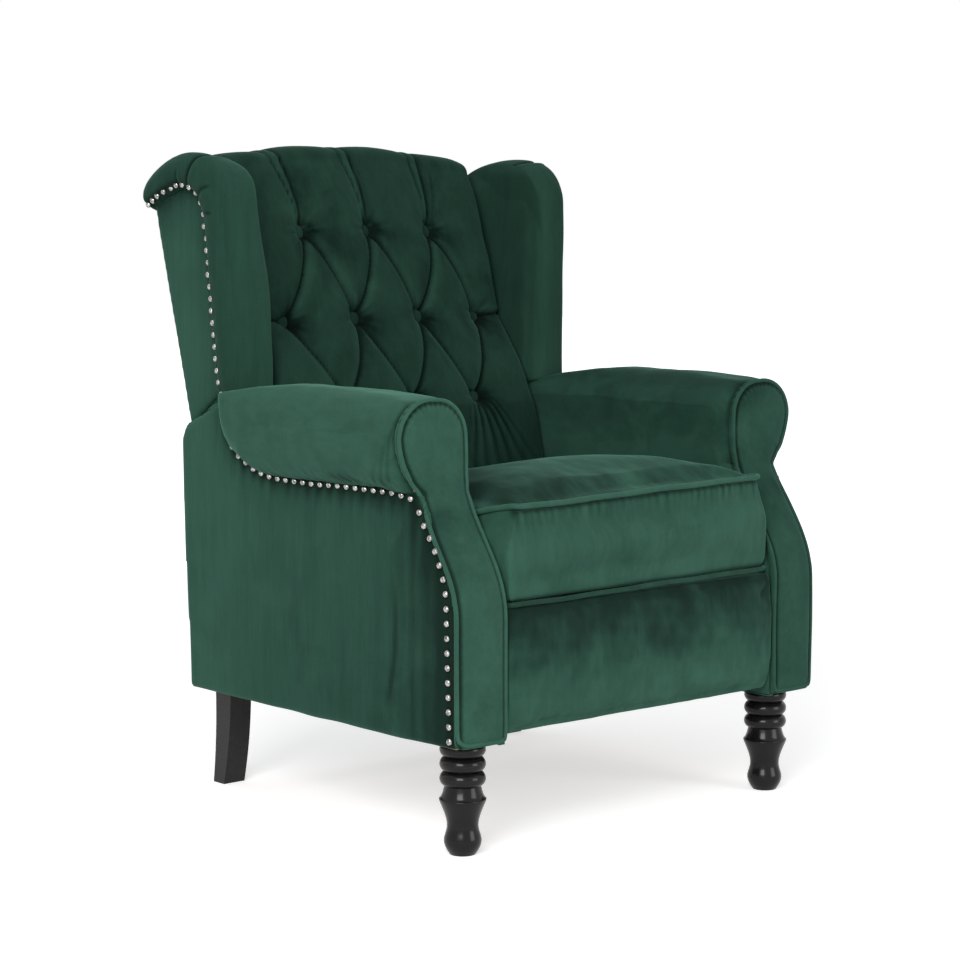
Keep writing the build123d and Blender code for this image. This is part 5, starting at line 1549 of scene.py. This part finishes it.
@dataclass
class Wing:
    """One wing: padding with a rounded front and top edge, a panel let into its outside, and its nails."""

    side: Side
    velvet: Velvet
    panel_velvet: Velvet
    nickel: BrightNickel
    voxel: float = 0.005
    nail: float = 0.0050
    twin: Optional["Wing"] = None
    skin: Optional[Piece] = None
    flare_start: float = 0.620
    inner_flare: float = 0.043
    outer_flare: float = 0.019
    folds: Tuple[Tuple[Tuple[Point2, ...], float, float], ...] = (
        (((574, 903), (571, 915), (566, 930), (556, 945), (540, 952)), 0.0034, 3.6),
        (((600, 904), (601, 917), (597, 932)), 0.0018, 3.4),
        (((548, 886), (533, 897), (512, 903)), 0.0020, 3.4),
        (((543, 858), (528, 862), (508, 862)), 0.0018, 3.4),
    )
    nails: Tuple[Point2, ...] = (
        (712, 869), (692, 877), (659, 890), (629, 900), (605, 905), (584, 903), (566, 896), (554, 885), (547, 868),
        (543, 848), (542, 812), (542, 776), (538, 735), (534, 700), (529, 669), (525, 632), (516, 596),
    )

    def node(self, stem: str) -> str:
        """The CAD node of this side with that stem."""
        return f"{stem}_{self.side.word}"

    def padding(self) -> Piece:
        """The cover of the wing's padding, sunk where the panel lies.

        Returns:
            The cover.
        """
        name = f"wing_cover_{self.side.word}"
        if self.twin is None:
            cover = Piece.from_nodes(
                name, [self.node("wing_pad"), self.node("wing_outer_panel"), "wing_frames"], side=self.side)
            cover.skin(self.voxel)
            cover.swell(0.005)
            cover.relax(3)
            self.skin = Piece.mirrored("wing_pattern", cover)
            bpy.context.scene.collection.objects.unlink(self.skin.obj)
        else:
            self.twin.skin.obj.name = name
            cover = self.twin.skin
            bpy.context.scene.collection.objects.link(cover.obj)
        cover.divide(1)
        cover.points = self.flared(cover.points)
        points = cover.points
        places = np.stack([(points[:, 1] - LEG_AXIS_Y) / MM, points[:, 2] / MM], axis=1)
        gap, _, _ = distance_to_path(places, evenly(self.nails, 6.0))
        within = self.within(places)
        outward = smooth_rise(0.2, 0.7, cover.normals[:, 0] * self.side.value) * (np.abs(points[:, 0]) > 0.300)
        sunk = -0.0065 * within - 0.004 * np.exp(-(gap / 5.0) ** 2)
        band = 0.0038 * (1 - within) * np.exp(-((gap - 24.0) / 14.0) ** 2)
        rear_top = smooth_rise(600, 715, places[:, 0])
        rear_top = rear_top * smooth_rise(868, 900, places[:, 1] + 0.42 * (places[:, 0] - 640))
        lip = 0.003 * rear_top * (1 - within)
        pucker = 0.0008 * ripple(points[:, 1:], 0.022, 71) * np.exp(-(gap / 18.0) ** 2)
        height = outward * (sunk + band + lip + pucker) + 0.0010 * ripple(points, 0.12, 72)
        creases, marks = self.creases(places)
        outside = smooth_rise(-0.75, -0.45, cover.normals[:, 0] * self.side.value)
        cover.push(height + creases * (1 - within) * outside)
        # Painted shade beside the nailed seam and in a band outside it, painted shade in the creases, random marks, a
        # painted lighter inner front, and on the right wing painted lighter lower down.
        lie = -0.60 * outward * np.exp(-(gap / 5.0) ** 2) - 0.40 * outward * np.exp(-gap / 18.0) * (1 - within)
        lie += marks * (1 - within) * outside + 0.08 * ripple(points, 0.16, 73)
        lie += 0.22 * smooth_rise(0.315, 0.275, np.abs(points[:, 0])) * smooth_rise(520, 470, places[:, 0])
        if self.side is Side.RIGHT:
            lie += 0.30 * smooth_rise(0.74, 0.60, points[:, 2])
        cover.brush(lie)
        points = cover.points
        keep = np.abs(points[:, 0]) < 0.2535
        points[keep, 0] = self.side.value * 0.2535
        behind = 0.3155 + 0.05 * (1 - within)
        proud = np.abs(points[:, 0]) > behind
        points[proud, 0] = self.side.value * behind[proud]
        cover.points = points
        return cover.finish(
            self.velvet.material(), "back", "velvet", [self.node("wing_pad")], 0.75)

    def flared(self, points: np.ndarray) -> np.ndarray:
        """Points leaned outward towards the wing's top, the inside more than the outside.

        Args:
            points: The points, one row each.

        Returns:
            The moved points.
        """
        high = (points[:, 2] - self.flare_start) / (0.950 - self.flare_start)
        rise = np.clip(high, 0, 1.1) ** 2
        outward = np.clip((np.abs(points[:, 0]) - 0.2555) / 0.0715, 0, 1)
        places = np.stack([(points[:, 1] - LEG_AXIS_Y) / MM, points[:, 2] / MM], axis=1)
        hinged = 0.20 + 0.80 * smooth_rise(700, 560, places[:, 0])
        lean = self.inner_flare * hinged * (1 - outward) * rise
        lean += self.outer_flare * outward * (1 - self.within(places)) * np.clip(high - 0.21, 0, 1.1) ** 2 / 0.62
        board = smooth_rise(464, 496, places[:, 0]) * smooth_rise(968, 922, places[:, 1])
        kept = board * smooth_rise(0.279, 0.262, np.abs(points[:, 0]))
        away = np.maximum(np.abs(points[:, 0]) + lean - 0.2785, 0) * kept
        out = points.copy()
        out[:, 0] += self.side.value * (lean - away)
        out[:, 2] -= np.interp(places[:, 0], [460, 560, 650], [0.014, 0.020, 0.028]) * (
            smooth_rise(34, 12, places[:, 1] - np.interp(places[:, 0], [466, 533, 655], [609, 592, 552])))
        return out

    def creases(self, places: np.ndarray) -> Tuple[np.ndarray, np.ndarray]:
        """The seam over the brow and the small folds round the upper front corner.

        Args:
            places: Depth and height of each point, in millimetres.

        Returns:
            Their height in metres, and the painted shade in them.
        """
        height, lie = np.zeros(len(places)), np.zeros(len(places))
        for path, depth, width in self.folds:
            gap, along, side = distance_to_path(places, evenly(path, 4.0))
            fade = smooth_rise(1.0, 0.6, along) if depth < 0.003 else 1.0
            height -= depth * fade * np.exp(-(gap / width) ** 1.4)
            height += 0.35 * depth * fade * np.exp(-((gap - 2.2 * width) / (1.4 * width)) ** 2) * (side > 0)
            # Painted shade down each crease, more on the side without its lip.
            lie -= 220.0 * depth * fade * np.exp(-(gap / (0.7 * width)) ** 1.6)
            lie -= 60.0 * depth * fade * np.exp(-gap / 12.0) * (side < 0)
        return height, lie

    def within(self, places: np.ndarray) -> np.ndarray:
        """1 for places inside the nailed seam and 0 outside it, with a soft edge.

        Args:
            places: Depth and height of each point, in millimetres.

        Returns:
            A share for each place.
        """
        line = evenly(self.nails, 6.0)
        gap, _, _ = distance_to_path(places, line)
        end_y, end_z = line[-1]
        below = [(end_y + 4, end_z - 80), (end_y + 150, end_z - 90)]
        loop = np.vstack([line, below, [(line[0][0] + 60, line[0][1] - 30)]])
        inside = np.zeros(len(places), bool)
        for a, b in zip(loop, np.roll(loop, -1, axis=0)):
            crosses = (a[1] > places[:, 1]) != (b[1] > places[:, 1])
            slope = (b[0] - a[0]) * (places[:, 1] - a[1]) / (b[1] - a[1] if b[1] != a[1] else 1e-9) + a[0]
            inside ^= crosses & (places[:, 0] < slope)
        return np.where(inside, smooth_rise(-1.0, 9.0, gap), 0.0)

    def panel(self) -> Piece:
        """The cover of the panel let into the wing.

        Returns:
            The cover.
        """
        def thicken(points: np.ndarray) -> np.ndarray:
            """Sink the panel and give it a wall to follow.

            Args:
                points: The points, one row each.

            Returns:
                The moved points.
            """
            out = points.copy()
            inner = np.abs(points[:, 0]) < 0.324
            out[inner, 0] = self.side.value * 0.312
            out[~inner, 0] = self.side.value * 0.3235
            low = points[:, 2] < 0.60
            out[low, 2] -= 0.034
            return out

        cover = Piece.from_nodes(f"wing_side_{self.side.word}", [self.node("wing_outer_panel")], adjust=thicken)
        cover.skin(0.0045)
        cover.relax(4)
        points = cover.points
        outward = smooth_rise(0.4, 0.9, cover.normals[:, 0] * self.side.value)
        places = np.stack([(points[:, 1] - LEG_AXIS_Y) / MM, points[:, 2] / MM], axis=1)
        gap, _, _ = distance_to_path(places, evenly(self.nails, 6.0))
        crown = 0.0014 * smooth_rise(4, 40, gap) - 0.001
        cover.push(outward * (crown + 0.0008 * ripple(points, 0.09, 81, (1.0, 1.0, 4.0))))
        # Painted shade beside the nailed seam, stronger higher up, and a painted lighter middle, with random marks.
        fore = 0.7 + 0.5 * smooth_rise(700, 840, places[:, 1])
        lie = -0.50 * outward * np.exp(-np.maximum(gap - 5, 0) / 15.0) * fore
        lie += 0.14 * smooth_rise(20, 75, gap) * smooth_rise(0.2, 0.9, outward)
        cover.brush(lie + 0.10 * ripple(points, 0.14, 82, (1.0, 1.0, 2.5)))
        return cover.finish(self.panel_velvet.material(), "back", "velvet", [self.node("wing_outer_panel")], 0.35)

    def build(self) -> None:
        """Make the whole wing."""
        padding, panel = self.padding(), self.panel()
        surface = Feeler(padding, panel)
        spots = []
        for y, z in evenly(self.nails, 17.6):
            found = surface.touch(at(self.side.value * 600, y, z), Vector((-self.side.value, 0, 0)))
            if found is not None:
                normal = (found[1] + Vector((self.side.value * 2.0, 0, 0))).normalized()
                place = found[0] + normal * 0.0006
                if abs(place.x) < 0.3225:
                    place.x = self.side.value * 0.3225
                spots.append((place, normal))
        nail_row(f"wing_nails_{self.side.word}", spots, self.nail).finish(
            self.nickel.material(), "back", "zinc_steel")


@dataclass
class RearCovers:
    """The outside of the back, and the strip across the rear of the base."""

    velvet: Velvet

    def build(self) -> None:
        """Make the two covers."""
        def thicken(points: np.ndarray) -> np.ndarray:
            """Draw the panel's front face forward, so that the skin has a wall to follow.

            Args:
                points: The points, one row each.

            Returns:
                The moved points.
            """
            slope = np.array([0.0, -1.0, 0.31]) / math.hypot(1.0, 0.31)
            forward = (points - np.array(at(0, 520.7, 300))) @ slope
            return points + np.where(forward > 0.003, 0.006, 0.0)[:, None] * slope

        cover = Piece.from_nodes("outside_back_cover", ["outside_back_panel"], adjust=thicken)
        cover.skin(0.005)
        cover.relax(4)
        points = cover.points
        rear = smooth_rise(0.4, 0.9, cover.normals[:, 1])
        edge = 0.2515 - np.abs(points[:, 0])
        cover.push(rear * (0.003 * smooth_rise(0.0, 0.06, edge) + 0.0010 * ripple(points, 0.10, 91, (1, 1, 4))))
        cover.finish(self.velvet.material(), "back", "velvet", ["outside_back_panel"], 0.35)
        low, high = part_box("rear_rail")
        shape = bmesh.new()
        bmesh.ops.create_cube(shape, size=1.0)
        size = high - low + Vector((-0.001, 0.006, 0.006))
        bmesh.ops.scale(shape, vec=size, verts=shape.verts)
        bmesh.ops.translate(shape, vec=(low + high) / 2, verts=shape.verts)
        long_edges = [e for e in shape.edges if abs(e.verts[0].co.x - e.verts[1].co.x) > 0.1]
        bmesh.ops.subdivide_edges(shape, edges=long_edges,
                                  cuts=60, use_grid_fill=True)
        bmesh.ops.bevel(shape, geom=[e for e in shape.edges if e.calc_face_angle(0) > 1.0], offset=0.003,
                        affect="EDGES", segments=3, profile=0.5, material=-1)
        bmesh.ops.recalc_face_normals(shape, faces=shape.faces)
        strip = Piece("rear_strip_cover", shape)
        strip.push(0.0006 * ripple(strip.points, 0.08, 95))
        strip.finish(self.velvet.material(), "base", "velvet")


# ---------------------------------------------------------------- the studio
@dataclass
class Studio:
    """The camera, the lamps, the floor and the white surroundings."""

    eye: Colour = (-2.427, -2.828, 0.845)
    azimuth: float = -40.88
    elevation: float = 5.88
    lens: float = 92.85
    glow: float = 0.56
    air: Colour = (0.30, 0.30, 0.31)
    floor_size: float = 14.0
    floor_drop: float = 0.0004

    def camera(self) -> None:
        """Stand the camera where the photograph was taken."""
        data = bpy.data.cameras.new("view")
        data.lens, data.sensor_width = self.lens, 36.0
        camera = bpy.data.objects.new("view", data)
        bpy.context.scene.collection.objects.link(camera)
        turn, lift = math.radians(self.azimuth), math.radians(self.elevation)
        back = Vector((math.sin(turn) * math.cos(lift), -math.cos(turn) * math.cos(lift), math.sin(lift)))
        camera.location = self.eye
        camera.rotation_euler = back.to_track_quat("Z", "Y").to_euler()
        bpy.context.scene.camera = camera

    def lamp(self, name: str, place: Colour, size: float, power: float) -> None:
        """Hang a soft square lamp that faces the chair.

        Args:
            name: The lamp's name.
            place: Where it hangs.
            size: The side of its square, in metres.
            power: Its power, in watts.
        """
        data = bpy.data.lights.new(name, "AREA")
        data.shape, data.size, data.energy = "SQUARE", size, power
        lamp = bpy.data.objects.new(name, data)
        bpy.context.scene.collection.objects.link(lamp)
        lamp.location = place
        lamp.rotation_euler = (Vector(place) - Vector((0, 0, 0.45))).to_track_quat("Z", "Y").to_euler()

    def floor(self) -> None:
        """Lay a pale floor that shows white to the camera and keeps the shadow."""
        shape = bmesh.new()
        bmesh.ops.create_grid(shape, x_segments=4, y_segments=4, size=self.floor_size)
        bmesh.ops.translate(shape, vec=(0, 0, -self.floor_drop), verts=shape.verts)
        mesh = bpy.data.meshes.new("floor")
        shape.to_mesh(mesh)
        shape.free()
        floor = bpy.data.objects.new("floor", mesh)
        bpy.context.scene.collection.objects.link(floor)
        recipe = Recipe("pale_floor")
        away = Reading(recipe, recipe.node(
            "ShaderNodeVectorMath", {"operation": "LENGTH"}, {0: recipe.place}).outputs["Value"])
        white = (away.contrast(1.5, 3.2) * 0.6 + self.glow) * recipe.seen()
        speck = recipe.noise(40.0, 2.0)
        recipe.feed(
            Base_Color=recipe.blend(speck, (0.80, 0.80, 0.80), (0.815, 0.815, 0.815)), Roughness=0.9,
            Specular_IOR_Level=0.05, Emission_Color=recipe.blend(white, (0.0, 0.0, 0.0), (1.0, 1.0, 1.0)),
            Emission_Strength=1.0,
        )
        mesh.materials.append(recipe.material)

    def surroundings(self) -> None:
        """Make the air white to the camera and plain grey to the chair."""
        world = bpy.data.worlds.new("surroundings")
        recipe = Recipe(world.name, world)
        recipe.feed(Color=recipe.blend(recipe.seen(), self.air, (1.0, 1.0, 1.0)))
        bpy.context.scene.world = world

    def build(self) -> None:
        """Set up the studio."""
        self.camera()
        self.floor()
        self.surroundings()
        self.lamp("key", (-3.2, -2.3, 2.3), 2.0, 138.0)
        self.lamp("fill", (1.4, -3.8, 1.3), 1.8, 53.0)
        self.lamp("top", (-0.3, 0.5, 3.4), 2.2, 20.0)
        bpy.context.scene.view_settings.view_transform = "Standard"


def dress_nodes(finishes: Dict[str, object], groups: Dict[str, Sequence[str]]) -> None:
    """Give each CAD node that stays its finish.

    Args:
        finishes: The finishes by name.
        groups: The nodes that take each finish.
    """
    for key, nodes in groups.items():
        material = finishes[key].material()
        for node in nodes:
            data = frame["nodes"][node].data
            data.materials.clear()
            data.materials.append(material)
            LOG.info("%s takes %s", node, key)


def main() -> None:
    """Dress the whole chair and light it."""
    logging.basicConfig(level=logging.INFO, format="%(message)s")
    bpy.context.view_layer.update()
    Studio().build()
    # Painted shade: each piece's velvet is scaled darker by its own level, the back darkest.
    upright, clouded = Velvet(Nap.UPRIGHT, marks=0.7, tone=0.82), Velvet(Nap.CLOUDED, tone=0.92)
    nickel = BrightNickel()
    SeatCushion(clouded).build()
    TuftedBack(Velvet(Nap.UPRIGHT, marks=1.3, tone=0.42)).build()
    FootrestPanel(clouded).build()
    arm, wing = None, None
    # Painted shade: the right arm and wing get darker copies of the velvet than the left.
    for side, tone in ((Side.LEFT, 1.0), (Side.RIGHT, 0.72)):
        arm_velvet = Velvet(Nap.LENGTHWISE, marks=0.55 if side is Side.LEFT else 1.0, tone=tone)
        wing_velvet = Velvet(Nap.UPRIGHT, marks=0.35, tone=0.62 if side is Side.LEFT else 0.48)
        arm = RolledArm(side, arm_velvet, upright, nickel, twin=arm)
        arm.build()
        wing = Wing(side, wing_velvet, upright, nickel, twin=wing)
        wing.build()
    RearCovers(upright).build()
    dress_nodes(
        {
            "lacquer": BlackLacquer(), "timber": FrameTimber(), "webbing": ElasticWebbing(),
            "painted": PlainSteel("painted_steel", (0.030, 0.031, 0.033), (0.055, 0.056, 0.058), 0.2, 0.42),
            "zinc": PlainSteel("zinc_steel", (0.58, 0.59, 0.60), (0.40, 0.41, 0.42), 1.0, 0.32),
        },
        node_groups(),
    )


def node_groups() -> Dict[str, List[str]]:
    """The CAD nodes that keep their own shape, by finish.

    Returns:
        For each finish, the names of its nodes.
    """
    slots = {"black_lacquer": "lacquer", "frame_wood": "timber", "mechanism_paint": "painted",
             "zinc_steel": "zinc", "webbing": "webbing"}
    groups: Dict[str, List[str]] = {name: [] for name in slots.values()}
    for part in frame["record"]["subparts"]:
        if part["material_slot"] in slots:
            groups[slots[part["material_slot"]]].append(part["node"])
    return groups


if __name__ == "__main__":
    main()
